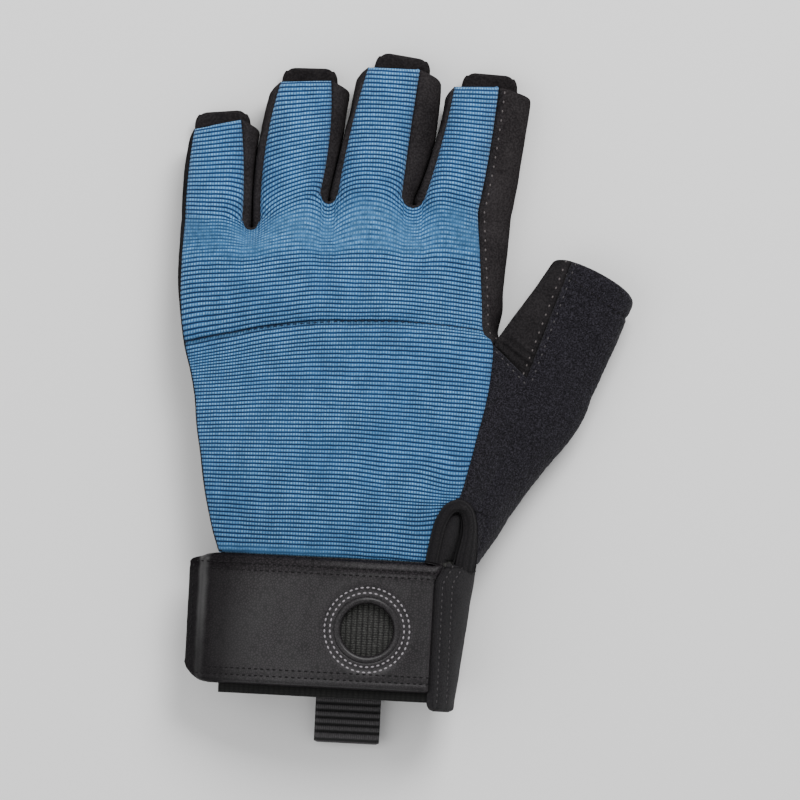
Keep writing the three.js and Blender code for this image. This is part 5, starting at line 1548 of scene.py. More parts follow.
def blue_knit_material():
    """Ribbed heather knit: navy grooves, mid-blue ribs and light dots where the loops come up."""
    f = Finish("blue knit", 0.85, 0.12, 0.06)
    place = f.group(CLOTH, wander=0.3, wander_size=0.35)
    across = place["Across"]
    along = place["Along"]
    rib = f.group(RIDGES, distance=along, pitch=RIB_PITCH, sharpness=0.9)["Ridge"]
    loop = f.group(RIDGES, distance=across, pitch=LOOP_PITCH, sharpness=1.2)["Ridge"]
    specks = f.group(SPECKS, fine=1300.0, coarse=150.0)
    fine = specks["Fine specks"]
    coarse = specks["Coarse specks"]
    patches = f.group(SPECKS, fine=300.0, coarse=48.0)["Coarse specks"]
    crinkles = f.group(SPECKS, fine=620.0, coarse=260.0)

    # Near the webs the cloth is stretched, so its ribs are calm; near the cuff seam, on the little finger's
    # side, they are calm and lighter too
    at_webs = f.times(f.ramp(along, *CALM_START), f.ramp(along, *CALM_END, 1.0, 0.0),
                      f.ramp(coarse, 0.38, 0.58, 1.0, 0.35))
    at_cuff_seam = f.times(f.ramp(along, 0.8, 3.6, 1.0, 0.0), f.ramp(across, -12.0, 6.0, 1.0, 0.0))
    calm = f.math("MAXIMUM", at_webs, at_cuff_seam)

    # Thread colours
    rib_top = f.ramp(rib, 0.22, 0.88)
    rib_top = f.plus(rib_top, f.times(at_webs, f.times(f.minus(1.0, rib_top), 0.45)))
    body = f.mix(rib_top, srgb(*NAVY), srgb(*MID_BLUE))
    dots = f.times(f.ramp(loop, 0.2, 0.95), f.ramp(rib, 0.55, 0.95), f.ramp(fine, 0.38, 0.62, 0.45, 1.0),
                   f.ramp(patches, 0.38, 0.6, 0.7, 1.0))
    knit = f.mix(dots, body, srgb(*LIGHT_BLUE))
    knit = f.mix(f.times(calm, 0.45), knit, srgb(*CALM_BLUE))

    # Tones over the hand: patches, crinkles by the webs, painted shade along the crease, darker towards the
    # cuff and lighter on the fingers
    uneven = f.times(f.ramp(crinkles["Fine specks"], 0.36, 0.64, -0.2, 0.16),
                     f.ramp(along, CALM_START[0] - 4, CALM_START[1]), f.ramp(along, *CALM_END, 1.0, 0.4))
    wavy = f.times(f.minus(crinkles["Coarse specks"], 0.5), 1.6)
    from_crease = f.math("ABSOLUTE", f.minus(f.plus(along, wavy), CREASE_DISTANCE))
    # Painted shade in the crease below the knuckle pad: darker along its line, fading towards the thumb's
    # side
    crease = f.times(f.ramp(from_crease, 0.3, 1.3, 0.5, 0.0), f.ramp(across, 5.0, 32.0, 1.0, 0.25))
    tone = f.times(f.ramp(coarse, 0.35, 0.65, 0.88, 1.1), f.plus(1.0, uneven), f.minus(1.0, crease),
                   f.ramp(along, 6.0, 32.0, 0.84, 1.0), f.ramp(along, 108.0, 118.0, 1.0, 1.15))
    shade = add_node(f.tree, "ShaderNodeCombineColor", {"Red": tone, "Green": tone, "Blue": tone})
    f.colour(f.mix(1.0, knit, shade.outputs["Color"], "MULTIPLY"))
    f.bump(f.plus(f.times(dots, 0.6), f.times(fine, 0.5)), 0.12)
    return f.material


def suede_material(name, low, high, nap=0.35):
    """Dull synthetic leather: fine fibres, and a nap that lies one way here and another there."""
    f = Finish(name, 1.0, 0.0, 0.0)
    specks = f.group(SPECKS, fine=1700.0, coarse=90.0)
    fibres = f.ramp(specks["Fine specks"], 0.35, 0.68)
    cloud = f.ramp(specks["Coarse specks"], 0.3, 0.7)
    f.colour(f.mix(f.plus(f.times(fibres, 1 - nap), f.times(cloud, nap)), srgb(*low), srgb(*high)))
    f.bump(specks["Fine specks"], 0.12)
    return f.material


def terry_material():
    """Short loops: dark cloth with small light specks close together."""
    f = Finish("terry", 0.95, 0.04, 0.08)
    specks = f.group(SPECKS, fine=2300.0, coarse=1300.0)
    fine = specks["Fine specks"]
    coarse = specks["Coarse specks"]
    loops = f.times(f.ramp(fine, 0.36, 0.64), f.ramp(coarse, 0.34, 0.62, 0.35, 1.0))
    f.colour(f.mix(loops, srgb(17, 16, 19), srgb(51, 49, 56)))
    f.bump(f.plus(fine, coarse), 0.3)
    return f.material


def strap_material():
    """Grained leather whose shine is a coat: strongest on the bend and worn off along the top. The loose left
    end is painted darker, as shade.
    """
    f = Finish("strap leather", 0.6, 0.0)
    place = f.group(CLOTH, wander=1.0, wander_size=0.2)
    across = place["Across"]
    along = place["Along"]
    grain = f.group(GRAIN, cells=1250.0)["Height"]
    worn = f.group(SPECKS, fine=700.0, coarse=60.0)["Coarse specks"]
    # Painted shade: the strap's loose left end is darker, and its coat is thinner there
    shaded = f.ramp(across, -44.0, -22.0, 0.3, 1.0)
    share = f.times(f.ramp(grain, 0.3, 1.0), f.ramp(worn, 0.2, 0.8, 0.7, 1.0), shaded)
    f.colour(f.mix(share, srgb(12, 10, 12), srgb(42, 38, 41)))
    bend = f.times(f.ramp(across, BEND_X - 2.4, BEND_X - 0.8),
                   f.ramp(across, BEND_X + 0.2, BEND_X + 1.8, 1.0, 0.0),
                   f.ramp(along, -34.0, -14.0, 0.3, 1.0), f.ramp(worn, 0.35, 0.6, 0.5, 1.0))
    dull_top = f.ramp(along, -7.5, -3.0, 1.0, 0.4)
    shine = f.plus(f.times(shaded, 0.4, dull_top), f.times(bend, 0.6))
    f.coat(f.math("MULTIPLY", shine, f.ramp(worn, 0.3, 0.7, 1.75, 1.3), clamp=True), 0.46, 1.6)
    f.bump(grain, 0.035)
    return f.material


def twill_material():
    """Elastic with diagonal ribs."""
    f = Finish("elastic", 0.8, 0.2, 0.08)
    place = f.group(CLOTH, wander=0.25, wander_size=0.3)
    slant = f.plus(f.times(place["Across"], 0.62), f.times(place["Along"], 0.79))
    rib = f.group(RIDGES, distance=slant, pitch=TWILL_PITCH, sharpness=0.8)["Ridge"]
    thread = f.group(RIDGES, distance=place["Across"], pitch=0.55, sharpness=0.8)["Ridge"]
    fine = f.group(SPECKS, fine=1600.0, coarse=300.0)["Fine specks"]
    share = f.times(rib, f.ramp(fine, 0.3, 0.7, 0.5, 1.0))
    f.colour(f.mix(share, srgb(14, 14, 15), srgb(56, 54, 55)))
    f.bump(f.plus(rib, f.times(thread, 0.3)), 0.3)
    return f.material


def webbing_material():
    """Webbing with dark grooves between its ribs and small strands across them."""
    f = Finish("webbing", 0.7, 0.3, 0.05)
    place = f.group(CLOTH, wander=0.12, wander_size=0.5)
    rib = f.group(RIDGES, distance=place["Along"], pitch=WEBBING_PITCH, sharpness=0.7)["Ridge"]
    strand = f.group(RIDGES, distance=place["Across"], pitch=0.62, sharpness=0.8)["Ridge"]
    fine = f.group(SPECKS, fine=1600.0, coarse=300.0)["Fine specks"]
    share = f.times(f.ramp(rib, 0.45, 1.0), f.ramp(strand, 0.0, 1.0, 0.5, 1.0),
                    f.ramp(fine, 0.3, 0.7, 0.6, 1.0))
    f.colour(f.mix(share, srgb(9, 9, 10), srgb(82, 80, 82)))
    f.bump(f.plus(f.times(strand, 0.4), f.times(fine, 0.4)), 0.18)
    return f.material


def plain_knit_material(name, low, high, pitch, hem=0.0):
    """Cloth with fine wales. Its hem, as wide as given, is darker."""
    f = Finish(name, 0.85, 0.12, 0.04)
    place = f.group(CLOTH, wander=pitch * 0.35, wander_size=0.6)
    wale = f.group(RIDGES, distance=place["Across"], pitch=pitch, sharpness=0.9)["Ridge"]
    course = f.group(RIDGES, distance=place["Along"], pitch=pitch * 0.45, sharpness=0.9)["Ridge"]
    fine = f.group(SPECKS, fine=1800.0, coarse=200.0)["Fine specks"]
    share = f.times(f.ramp(wale, 0.1, 0.95, 0.25, 1.0), f.ramp(course, 0.0, 1.0, 0.4, 1.0),
                    f.ramp(fine, 0.32, 0.66, 0.35, 1.0))
    if hem:
        share = f.times(share, f.ramp(place["Along"], hem, hem + 2.0, 0.15, 1.0))
    f.colour(f.mix(share, srgb(*low), srgb(*high)))
    f.bump(share, 0.2)
    return f.material


def thread_material(name, colour, shine=0.35):
    f = Finish(name, 0.6, shine)
    fine = f.group(SPECKS, fine=2400.0, coarse=300.0)["Fine specks"]
    dark = tuple(c * 0.6 for c in colour)
    f.colour(f.mix(fine, srgb(*dark), srgb(*colour)))
    f.bump(fine, 0.05)
    return f.material


def plain_material(name, colour, roughness):
    f = Finish(name, roughness)
    f.shader.inputs["Base Color"].default_value = colour
    return f.material


BLUE_KNIT = blue_knit_material()
PALM_SUEDE = suede_material("palm suede", (24, 23, 24), (44, 42, 43))
# Painted lighter than the palm's leather, as the light that falls on the index side; the strips between the
# fingers use it too
SIDE_SUEDE_PAINTED_LIGHTER = suede_material("side suede painted lighter", (29, 27, 28), (54, 51, 52))
TAB_SUEDE = suede_material("tab suede", (26, 24, 25), (48, 45, 46))
TERRY = terry_material()
STRAP_LEATHER = strap_material()
TWILL = twill_material()
WEBBING = webbing_material()
BINDING_CLOTH = plain_knit_material("binding cloth", (24, 23, 25), (48, 46, 48), 0.5)
KNIT_BASE = plain_knit_material("base knit", (17, 17, 17), (72, 72, 70), 1.7, 4.5)
VENT_CLOTH = plain_knit_material("vent cloth", (16, 15, 17), (38, 36, 38), 0.5)
GREY_THREAD = thread_material("grey thread", (168, 162, 168))
BLACK_THREAD = thread_material("black thread", (24, 22, 24), 0.15)
DIM_THREAD = thread_material("dim thread", (72, 69, 71))
PALE_THREAD = thread_material("pale thread", (100, 93, 93))
NAVY_THREAD = thread_material("navy thread", (22, 40, 70))


# Stitches


def stitch_nodes():
    """Geometry nodes that lay one thread stitch after another along lines."""
    tree = bpy.data.node_groups.new("stitch rows", "GeometryNodeTree")
    face = tree.interface
    face.new_socket("Lines", in_out="INPUT", socket_type="NodeSocketGeometry")
    face.new_socket("Pitch", in_out="INPUT", socket_type="NodeSocketFloat")
    face.new_socket("Size", in_out="INPUT", socket_type="NodeSocketVector")
    face.new_socket("Thread", in_out="INPUT", socket_type="NodeSocketMaterial")
    face.new_socket("Stitches", in_out="OUTPUT", socket_type="NodeSocketGeometry")
    entry = tree.nodes.new("NodeGroupInput").outputs
    curves = add_node(tree, "GeometryNodeMeshToCurve", {"Mesh": entry["Lines"]})
    steps = add_node(tree, "GeometryNodeResampleCurve", {
        "Curve": curves.outputs["Curve"], "Length": entry["Pitch"]}, mode="LENGTH")
    tangent = add_node(tree, "GeometryNodeInputTangent")
    up = add_node(tree, "GeometryNodeInputNamedAttribute", {"Name": "up"}, data_type="FLOAT_VECTOR")
    turn = add_node(tree, "FunctionNodeAxesToRotation", {
        "Primary Axis": tangent.outputs["Tangent"],
        "Secondary Axis": next(s for s in up.outputs if s.enabled and s.name == "Attribute"),
    }, primary_axis="X", secondary_axis="Z")
    bead = add_node(tree, "GeometryNodeMeshUVSphere", {"Segments": 8, "Rings": 6, "Radius": 0.5})
    shaded = add_node(tree, "GeometryNodeSetShadeSmooth", {"Geometry": bead.outputs["Mesh"]})
    copies = add_node(tree, "GeometryNodeInstanceOnPoints", {
        "Points": steps.outputs["Curve"], "Instance": shaded.outputs["Geometry"],
        "Rotation": turn.outputs["Rotation"], "Scale": entry["Size"]})
    real = add_node(tree, "GeometryNodeRealizeInstances", {"Geometry": copies.outputs["Instances"]})
    threaded = add_node(tree, "GeometryNodeSetMaterial", {
        "Geometry": real.outputs["Geometry"], "Material": entry["Thread"]})
    leave = tree.nodes.new("NodeGroupOutput")
    tree.links.new(threaded.outputs["Geometry"], leave.inputs["Stitches"])
    return tree


STITCH_NODES = stitch_nodes()


def stitch(name, lines, thread, pitch=2.4, length=1.7, width=0.55, height=0.4):
    """Thread stitches along lines, each a list of places and the directions that face out there."""
    points = []
    ups = []
    edges = []
    for places, directions in lines:
        start = len(points)
        points.extend(to_frame(places).tolist())
        ups.extend(np.asarray(directions, float).tolist())
        edges.extend((start + k, start + k + 1) for k in range(len(places) - 1))
    mesh = bpy.data.meshes.new(name + "_lines")
    mesh.from_pydata(points, edges, [])
    up = mesh.attributes.new("up", "FLOAT_VECTOR", "POINT")
    up.data.foreach_set("vector", np.array(ups, np.float32).reshape(-1))
    source = bpy.data.objects.new(name + "_lines", mesh)
    bpy.context.scene.collection.objects.link(source)
    modifier = source.modifiers.new("stitches", "NODES")
    modifier.node_group = STITCH_NODES
    values = {
        "Pitch": pitch * METRES,
        "Size": [length * METRES, width * METRES, height * METRES],
        "Thread": thread,
    }
    for item in STITCH_NODES.interface.items_tree:
        if item.in_out == "INPUT" and item.name in values:
            modifier[item.identifier] = values[item.name]
    bpy.context.view_layer.update()
    evaluated = source.evaluated_get(bpy.context.evaluated_depsgraph_get())
    made = bpy.data.meshes.new_from_object(evaluated)
    made.name = name
    bpy.data.objects.remove(source)
    bpy.data.meshes.remove(mesh)
    obj = bpy.data.objects.new(name, made)
    bpy.context.scene.collection.objects.link(obj)
    return wear(obj, [], thread)


def polyline(corners, step=0.6):
    """Points at an even step along straight lines between corners."""
    corners = np.asarray(corners, float)
    line, _ = resample(corners, step)
    return line


def laid(drape, line, direction=(0, 0, -1), lift=0.05):
    """A line of places laid on a surface: where it meets it, and which way that faces."""
    places = []
    directions = []
    for spot in line:
        start = (spot[0], spot[1], spot[2] if len(spot) > 2 else 15.0)
        hit = drape.drop(start, direction)
        if hit is None:
            continue
        places.append(np.array(hit[0]) + np.array(hit[1]) * lift)
        directions.append(np.array(hit[1]))
    return places, directions


# Relief of the panels


def rib_relief(shell):
    """Ribs of the knit, the crease below the knuckle pad and the slack of the cloth."""
    along = shell.vertex_uv[:, 1]
    flat = shell.points[:, :2]
    calm = smoothstep(along, *CALM_START) * (1 - smoothstep(along, *CALM_END))
    ridge = np.abs(np.cos(along / RIB_PITCH * math.pi)) ** 0.7
    ribs = RIB_HEIGHT * (ridge - 0.75) * (1 - 0.5 * calm)
    depth = 0.75 + 0.3 * noise(flat, 4.0, 6)
    depth *= mix(1.0, 0.45, smoothstep(flat[:, 0], 0, 30))
    from_crease = along - CREASE_DISTANCE
    crease = depth * bell(from_crease, 0.8)
    pad = 0.22 * bell(from_crease - 3.4, 2.4)
    below = 0.12 * bell(from_crease + 2.6, 2.2)
    slack = noise(flat * (0.6, 1.0), 17.0, 3) * 0.4 + noise(flat * (0.4, 1.0), 7.0, 5) * 0.14
    lumps = noise(flat, 2.4, 8) * 0.22 * calm
    return seam_calm(shell) * (ribs - crease + pad + below + slack + lumps)


def seam_calm(shell):
    """Relief fades out towards the seams, so that neighbouring panels meet."""
    return smoothstep(shell.rim_distance(), 0, SEAM_CALM)


def distance_to_lines(flat, lines):
    """Distance in the XY plane to the nearest of several lines of corners."""
    best = np.full(len(flat), 1e9)
    for line in lines:
        line = np.asarray(line, float)
        for a, b in zip(line[:-1], line[1:]):
            along = b - a
            t = np.clip(((flat - a) @ along) / max(along @ along, 1e-9), 0, 1)
            best = np.minimum(best, np.linalg.norm(flat - a - t[:, None] * along, axis=1))
    return best


def palm_relief(shell):
    """Quilting, folds at the thumb's crotch and slack of the leather; the underside only goes in."""
    flat = shell.points[:, :2]
    under = smoothstep(-shell.normals[:, 2], 0.6, 0.95)
    quilt = 0.45 * np.clip(1 - distance_to_lines(flat, QUILT_LINES) / QUILT_WIDTH, 0, 1) ** 2
    soft = noise(shell.points, 12.0, 11) * 0.3 + noise(shell.points, 5.0, 12) * 0.12
    seam = np.array(FOLD_LINE[1]) - FOLD_LINE[0]
    seam = seam / np.linalg.norm(seam)
    from_crotch = flat - FOLD_LINE[0]
    along = from_crotch @ seam
    above = from_crotch @ np.array([-seam[1], seam[0]]) - FOLD_SPREAD * along
    folds = np.cos(above / FOLD_PITCH * 2 * math.pi) * bell(above - 2.5, 3.5)
    folds *= FOLD_HEIGHT * smoothstep(along, -2, 2) * smoothstep(shell.normals[:, 2], -0.3, 0.2)
    slack = soft * (1 - under) - under * (quilt + np.abs(soft) * 0.5)
    return seam_calm(shell) * slack + folds


def terry_relief(shell):
    """Loops, slack and the sewn line of the hem at the thumb's mouth."""
    place = shell.points
    loops = noise(place, 0.9, 21) * 0.12
    slack = noise(place, 14.0, 23) * 0.4 + noise(place, 6.0, 24) * 0.12
    from_mouth = distance_to_lines(place[:, :2], [(THUMB_MOUTH["inner"], THUMB_MOUTH["outer"])])
    low = smoothstep(-shell.normals[:, 2], 0.2, 0.7)
    return (loops + slack) * (1 - 0.8 * low) - 0.45 * bell(from_mouth - THUMB_HEM, 0.7)


def side_relief(shell):
    place = shell.points
    return noise(place, 9.0, 31) * 0.25 + noise(place, 4.0, 32) * 0.1


def leaning_relief(shell, closed_to):
    """Neighbouring fingers lean on each other: up to a given Y their side walls meet half way up."""
    x = shell.points[:, 0]
    y = shell.points[:, 1]
    facing = shell.normals[:, 0]
    levels = np.arange(y.min() + 1, closed_to + 6, 1.0)
    near = np.abs(y[None, :] - levels[:, None]) < 0.9
    left = np.where(near & (facing > 0.3), x, -1e3).max(axis=1)
    right = np.where(near & (facing < -0.3), x, 1e3).min(axis=1)
    reach = np.abs(x - np.interp(y, levels, (left + right) / 2)) - 0.02
    weight = smoothstep(np.abs(facing), 0.8, 0.96) * (1 - smoothstep(y, closed_to - 7, closed_to))
    web = 0.5 * smoothstep(shell.normals[:, 1], 0.6, 0.95)
    return mix(side_relief(shell), np.clip(reach, 0, 1.0), weight) + web


def strap_relief(shell):
    """Slack, puckers along the stitched grooves, a swelling round the hole and the bend."""
    flat = shell.points[:, :2]
    x = flat[:, 0]
    y = flat[:, 1]
    low = -(STRAP_TOP + STRAP_WIDTH)
    rows = np.minimum(np.abs(-STRAP_TOP - STITCH_INSET - y), np.abs(y - low - STITCH_INSET))
    from_hole = np.hypot(x - CLIP_HOLE[0], y - CLIP_HOLE[1])
    ring = bell(from_hole - 12.4, 1.2) - 0.6 * bell(from_hole - 15.0, 1.5)
    bend = bell(x - BEND_X, 1.6) - 0.5 * bell(x - BEND_X - 4.5, 2.5)
    soft = noise(flat, 11.0, 41) * 0.22 + noise(flat, 4.0, 42) * 0.06
    pucker = 0.05 * np.sin(x * 2.6 + noise(flat, 5.0, 43) * 2) * bell(rows - 1.2, 1.2)
    return soft + pucker + 0.9 * bend - 0.25 * bell(rows, 0.7) - 0.2 * ring


def tape_relief(shell):
    """A bead at the left edge, stitched grooves, and an upper end that goes down to the vent."""
    place = shell.points
    line = place[:, 0] - tape_edge_x(place[:, 1])
    rows = np.minimum(np.abs(line - TAPE_STITCHES[0]), np.abs(line - TAPE_STITCHES[1]))
    lower = smoothstep(place[:, 1], -8, 0)
    soft = noise(place, 6.0, 51) * 0.15 + noise(place, 2.5, 52) * 0.06
    top = np.clip(shell.normals[:, 2] * 1.3, 0.1, 1)
    return soft + 0.35 * bell(line - 0.7, 0.8) - 0.25 * bell(rows, 0.6) - lower * top


def tucked(shell):
    """The cuff's upper edge goes in under the panels."""
    return -CUFF_EDGE_DROP * smoothstep(shell.points[:, 1], -0.5, 0.3)


def tape_edge_x(y):
    """X of the edge tape's left edge at a Y below the cuff's seam."""
    slant = 1 - smoothstep(-y / CUFF_LENGTH, 0, TAPE_SLANT_END)
    return mix(TAPE_LEFT_X["below"], TAPE_LEFT_X["top"], slant)


def binding_relief(shell):
    """Soft cloth whose left leg goes down into the seam at the cuff."""
    left_leg = 1 - smoothstep(shell.points[:, 0], *LEFT_LEG_FADE)
    return noise(shell.points, 5.0, 61) * 0.15 - 0.8 * left_leg * bell(shell.points[:, 1], 1.3)


def gusset_relief(shell):
    return noise(shell.points, 3.5, 62) * 0.3


def at_cuff(points):
    """Where a panel's edge lies at the cuff's seam and isn't rolled in."""
    return np.abs(points[:, 1]) < 1.0


# Pieces
back = sewn("back", back_shell(FINE), back_shell(COARSE), KNIT_WALL, rib_relief)
wear(back, ["back_panel"], BLUE_KNIT)
palm = sewn("palm", palm_shell(MEDIUM), palm_shell(COARSE), LEATHER_WALL, palm_relief, **LEATHER_ROLL)
wear(palm, ["palm_panel"], PALM_SUEDE)
thumb = sewn("thumb_back", thumb_back_shell(LOOPED), thumb_back_shell(COARSE), TERRY_WALL, terry_relief,
             flat_at=at_cuff, **TERRY_ROLL)
wear(thumb, ["thumb_back"], TERRY)
side = sewn("index_side", index_side_shell(MEDIUM), index_side_shell(COARSE), SIDE_WALL, side_relief,
            **LEATHER_ROLL)
wear(side, ["index_side_panel"], SIDE_SUEDE_PAINTED_LIGHTER)
for index, name in enumerate(("little_ring", "ring_middle", "middle_index")):
    closed_to = SLITS_CLOSED_TO[index]
    strip = sewn("fourchette_" + name, fourchette_shell(index, MEDIUM), fourchette_shell(index, COARSE),
                 SIDE_WALL, lambda shell: leaning_relief(shell, closed_to), **LEATHER_ROLL)
    wear(strip, ["fourchette_" + name], SIDE_SUEDE_PAINTED_LIGHTER)
cuff_back = sewn("cuff_back", cuff_back_shell(0.5), cuff_back_shell(3), CUFF_BACK_WALL, tucked, roll=0)
wear(cuff_back, ["cuff_back"], KNIT_BASE)
elastic = sewn("elastic", cuff_elastic_shell(0.5), cuff_elastic_shell(3), ELASTIC_WALL, tucked, roll=0)
wear(elastic, ["cuff_elastic"], TWILL)
strap = sewn("strap", strap_shell(0.5), strap_shell(2), STRAP_WALL, strap_relief, **STRAP_ROLL)
wear(strap, ["wrist_strap"], STRAP_LEATHER)
wear(hole_rim(64, 16), ["clip_hole_rim"], STRAP_LEATHER)
tape = sewn("edge_tape", tape_shell(0.4), tape_shell(1.5), TAPE_WALL, tape_relief,
            flat_at=at_cuff, **TAPE_ROLL)
wear(tape, ["cuff_edge_tape"], BINDING_CLOTH)
binding = sewn("vent_binding", vent_binding_shell(0.4), vent_binding_shell(1.2), BINDING_WALL, binding_relief,
               flat_at=at_cuff, **BINDING_ROLL)
wear(binding, ["vent_binding"], VENT_CLOTH)
gusset = sewn("vent_gusset", vent_gusset_shell(0.4), vent_gusset_shell(2), GUSSET_WALL, gusset_relief, roll=0)
wear(gusset, ["vent_gusset"], BINDING_CLOTH)


def webbing_relief(places, x):
    ridge = np.abs(np.cos(places / WEBBING_PITCH * math.pi)) ** 0.7
    return (ridge[:, None] - 1) * 0.4 * np.clip(np.minimum(x, x[-1] - x) / 1.2, 0.2, 1)[None, :]


loop_path = folded_path(-WEBBING_TOP, -(CUFF_LENGTH + LOOP_DROP), WEBBING_WALL / 2, LOOP_GAP, WEBBING_WALL,
                        -(ELASTIC_LENGTH + SEAM_GAP * 2))
loop = ribbon("pull_loop", loop_path, WEBBING_WALL, WEBBING_X - WEBBING_WIDTH / 2, WEBBING_WIDTH, 0.3,
              webbing_relief)
wear(loop, ["pull_loop"], WEBBING)
tape_floor = WEBBING_WALL + SEAM_GAP + ELASTIC_WALL + SEAM_GAP
small_end = -(ELASTIC_LENGTH + SMALL_TAPE_DROP - SMALL_TAPE_SHORTER)
small_start = -(ELASTIC_LENGTH - SMALL_TAPE_START)
small_path = folded_path(small_start, small_end, tape_floor + SMALL_TAPE_WALL / 2, SEAM_GAP,
                         SMALL_TAPE_WALL, small_start)
for place, node in ((-1, "tape_loop_little_side"), (1, "tape_loop_thumb_side")):
    low_x = WEBBING_X + place * SMALL_TAPE_SPACING - SMALL_TAPE_WIDTH / 2
    small = ribbon(node, small_path, SMALL_TAPE_WALL, low_x, SMALL_TAPE_WIDTH, 0.3)
    wear(small, [node], WEBBING)
for index, finger in enumerate(FINGERS):
    name = "pull_tab_" + finger["name"]
    tab = sewn(name, tab_shell(index, 24), tab_shell(index, 8), TAB_WALL, **TAB_ROLL)
    wear(tab, [name], TAB_SUEDE)
patch = sewn("palm_patch", patch_shell(10), patch_shell(4), PATCH_WALL, **PATCH_ROLL)
wear(patch, ["palm_patch"], PALM_SUEDE)

# Stitches on the cuff
strap_top = Drape("strap")
strap_low = -(STRAP_TOP + STRAP_WIDTH)
outer_rows = (-STRAP_TOP + STRAP_COVER - STITCH_INSET, strap_low + STITCH_INSET)
inner_rows = (outer_rows[0] - STITCH_ROWS_APART, outer_rows[1] + STITCH_ROWS_APART)
straight_rows = [polyline(((-45.0, y), (29.0, y))) for y in outer_rows]
straight_rows += [polyline(((-40.0, y), (29.0, y))) for y in inner_rows]
straight_rows.append(polyline(((-46.2, outer_rows[0] - 1.5), (-46.2, strap_low + 6.0))))
stitch("strap_stitches", [laid(strap_top, line) for line in straight_rows], BLACK_THREAD,
       pitch=2.0, length=1.2, width=0.5)
turn = np.linspace(0, 2 * math.pi, 121)
rings = []
for radius in HOLE_STITCH_RADII:
    circle = point(CLIP_HOLE[0] + radius * np.cos(turn), CLIP_HOLE[1] + radius * np.sin(turn), 15.0)
    rings.append(laid(strap_top, circle))
stitch("hole_stitches", rings, GREY_THREAD, pitch=1.75, length=1.15, width=0.62, height=0.5)
tape_top = Drape("edge_tape")
tape_y = np.linspace(-1.0, -(CUFF_LENGTH - 0.5), 90)
tape_lines = [laid(tape_top, point(tape_edge_x(tape_y) + inset, tape_y, 15.0)) for inset in TAPE_STITCHES]
stitch("tape_stitches", tape_lines, DIM_THREAD, pitch=1.9, length=1.0, width=0.45)
binding_top = Drape("vent_binding")
arch = np.linspace(3.4, 8, 60)
arch_x = mix(curve(BINDING["outer_x"], arch), curve(BINDING["inner_x"], arch), 0.45) * HAND_WIDTH
arch_y = mix(curve(BINDING["outer_y"], arch), curve(BINDING["inner_y"], arch), 0.45) * HAND_LENGTH
stitch("binding_stitches", [laid(binding_top, point(arch_x, arch_y, 20.0))], BLACK_THREAD,
       pitch=1.9, length=1.25, width=0.4)

# Stitches on the back: the crease below the knuckle pad
back_top = Drape("back")
roots = root_line(0, FINE["finger"], FINE["web"])
crease_line = back_grid(np.array([float(CREASE_ROW)]), roots)[0]
stitch("crease_stitches", [laid(back_top, crease_line, lift=0.12)], NAVY_THREAD,
       pitch=2.1, length=1.3, width=0.4)

# Stitches beside the blue edge and on the thumb's seam
side_top = Drape("index_side")
rows = np.linspace(CROTCH_ROW + 0.3, ROOT_ROW, 60)
hand_part = wall_grid(right_edges(rows), 24)[:, 0]
finger_part = wall_grid(finger_edges(3, np.linspace(0, 0.96, 40))[1], 24)[1:, 0]
beside = np.concatenate([hand_part, finger_part]) + (1.5, 0, 0)
stitch("index_stitches", [laid(side_top, beside)], PALE_THREAD,
       pitch=2.9, length=0.95, width=0.6)
thumb_top = Drape("thumb_back")
seam_start = np.array(THUMB_SEAM_START[:2])
seam_end = mouth_point(THUMB_ANGLES["seam"])[:2]
beside_seam = np.array([1.7, -0.5])
thumb_seam = polyline((seam_start + beside_seam, seam_end + beside_seam))
leather_seam = polyline((seam_start + (-1.2, 1.2), seam_end + (-1.3, 0.3)))
crotch_edge = terry_edge(np.array([float(CROTCH_ROW)]))[0][:2]
below = np.array([-0.8, -1.7])
crotch_seam = polyline((crotch_edge + below + (2.0, -1.2), seam_start + below))
mouth_row = polyline((mouth_point(120)[:2] - (2.2, 4.8), mouth_point(12)[:2] - (3.2, 5.0)))
stitch("thumb_stitches", [laid(thumb_top, thumb_seam), laid(thumb_top, crotch_seam)], DIM_THREAD,
       pitch=2.6, length=0.9, width=0.55)
stitch("thumb_hem_stitches", [laid(thumb_top, mouth_row)], BLACK_THREAD,
       pitch=2.0, length=1.3, width=0.5)
stitch("thumb_leather_stitches", [laid(Drape("palm"), leather_seam)], PALE_THREAD,
       pitch=3.0, length=0.9, width=0.6)

# Stitches under the palm
underside = Drape("palm", "palm_patch", "thumb_back")
up = (0, 0, 1)
quilt = [laid(underside, [(*spot, 0.0) for spot in polyline(line)], up, 0.08) for line in QUILT_LINES]
stitch("quilt_stitches", quilt, DIM_THREAD, pitch=2.6, length=1.5, width=0.45)
patch_under = Drape("palm_patch")
patch_middle = np.array(PATCH_OUTLINE).mean(axis=0)
patch_edge = patch_shell(10).grids[0][0][-1][:, :2]
patch_reach = np.linalg.norm(patch_edge - patch_middle, axis=1)[:, None]
patch_row = patch_middle + (patch_edge - patch_middle) * (1 - 1.6 / patch_reach)
stitch("patch_stitches", [laid(patch_under, [(*spot, 0.0) for spot in patch_row], up, 0.08)], DIM_THREAD,
       pitch=2.3, length=1.4, width=0.45)
zigzags = []
hem_rows = []
for index in range(len(FINGERS)):
    left, right, _ = finger_edges(index, 0.9)
    t = np.linspace(0.12, 0.88, 23)[:, None]
    line = mix(left[2], right[2], t)
    line[:, 1] += np.where(np.arange(23) % 2, 0.8, -0.8)
    line[:, 2] = 0
    zigzags.append(laid(underside, polyline(line, 0.3), up, 0.08))
    hem = mix(left[2], right[2], t)
    hem[:, 1] -= 3.0
    hem[:, 2] = 0
    hem_rows.append(laid(underside, hem, up, 0.08))
stitch("tab_zigzags", zigzags, DIM_THREAD, pitch=0.9, length=0.8, width=0.4)
stitch("hem_stitches", hem_rows, BLACK_THREAD, pitch=2.4, length=1.4, width=0.4)

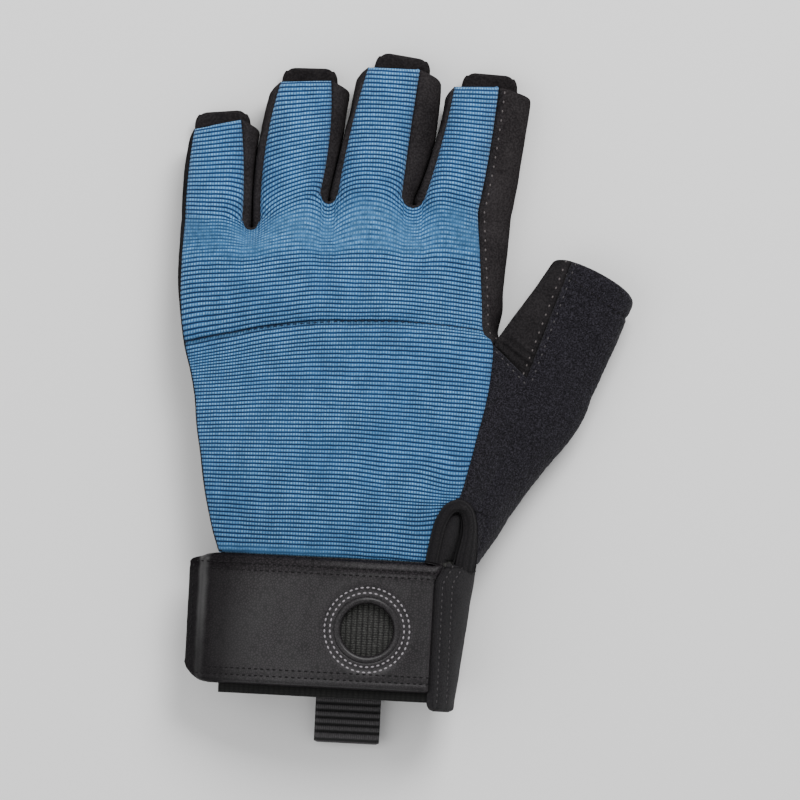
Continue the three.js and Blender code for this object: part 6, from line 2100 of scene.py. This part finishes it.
# Stitches on the pull loop and along the elastic's top
loop_under = Drape("pull_loop")
left_x = WEBBING_X - WEBBING_WIDTH / 2 + 1.3
right_x = WEBBING_X + WEBBING_WIDTH / 2 - 1.3
top_y = -WEBBING_TOP - 1.2
low_y = -ELASTIC_LENGTH + 0.6
corners = {"top left": (left_x, top_y, 0), "top right": (right_x, top_y, 0),
           "low left": (left_x, low_y, 0), "low right": (right_x, low_y, 0)}
box_sides = (
    ("top left", "top right"), ("top right", "low right"), ("low right", "low left"),
    ("low left", "top left"), ("top left", "low right"), ("top right", "low left"),
)
box_lines = []
for start, end in box_sides:
    line = polyline((corners[start], corners[end]), 2.0)
    box_lines.append(laid(loop_under, [(*spot[:2], 0.0) for spot in line], up, 0.15))
stitch("loop_stitches", box_lines, PALE_THREAD, pitch=2.2, length=1.5, width=0.55)
elastic_row = laid(Drape("elastic"), polyline(((-32.0, -2.0, 0), (33.0, -2.0, 0))), up, 0.08)
stitch("elastic_stitches", [elastic_row], DIM_THREAD, pitch=2.2, length=1.5, width=0.45)

# Floor, light and camera, in metres and degrees
PICTURE_WIDTH = 0.25
CAMERA_HEIGHT = 1.2
CAMERA_TURN = 3
WORLD_STRENGTH = 0.68
floor_mesh = bpy.data.meshes.new("floor")
low = -FLOOR_DROP * METRES
floor_mesh.from_pydata([(-3, -3, low), (3, -3, low), (3, 3, low), (-3, 3, low)], [], [(0, 1, 2, 3)])
floor = bpy.data.objects.new("floor", floor_mesh)
bpy.context.scene.collection.objects.link(floor)
floor.data.materials.append(plain_material("floor", (0.92, 0.92, 0.92, 1), 0.9))


def area_light(name, place, size, power):
    data = bpy.data.lights.new(name, "AREA")
    data.size = size
    data.energy = power
    lamp = bpy.data.objects.new(name, data)
    lamp.location = place
    lamp.rotation_euler = (-Vector(place)).to_track_quat("-Z", "Y").to_euler()
    bpy.context.scene.collection.objects.link(lamp)


area_light("key", (0.3, 0.8, 0.9), 0.6, 14)
area_light("fill", (-0.8, -0.1, 0.9), 1.2, 4.5)
world = bpy.data.worlds.new("studio")
bpy.context.scene.world = world
world.use_nodes = True
background = world.node_tree.nodes["Background"]
background.inputs["Color"].default_value = (1, 1, 1, 1)
background.inputs["Strength"].default_value = WORLD_STRENGTH

camera_data = bpy.data.cameras.new("camera")
camera_data.type = "ORTHO"
camera_data.ortho_scale = PICTURE_WIDTH
camera = bpy.data.objects.new("camera", camera_data)
camera.location = (0, 0, CAMERA_HEIGHT)
camera.rotation_euler = (0, 0, math.radians(CAMERA_TURN))
bpy.context.scene.collection.objects.link(camera)
bpy.context.scene.camera = camera
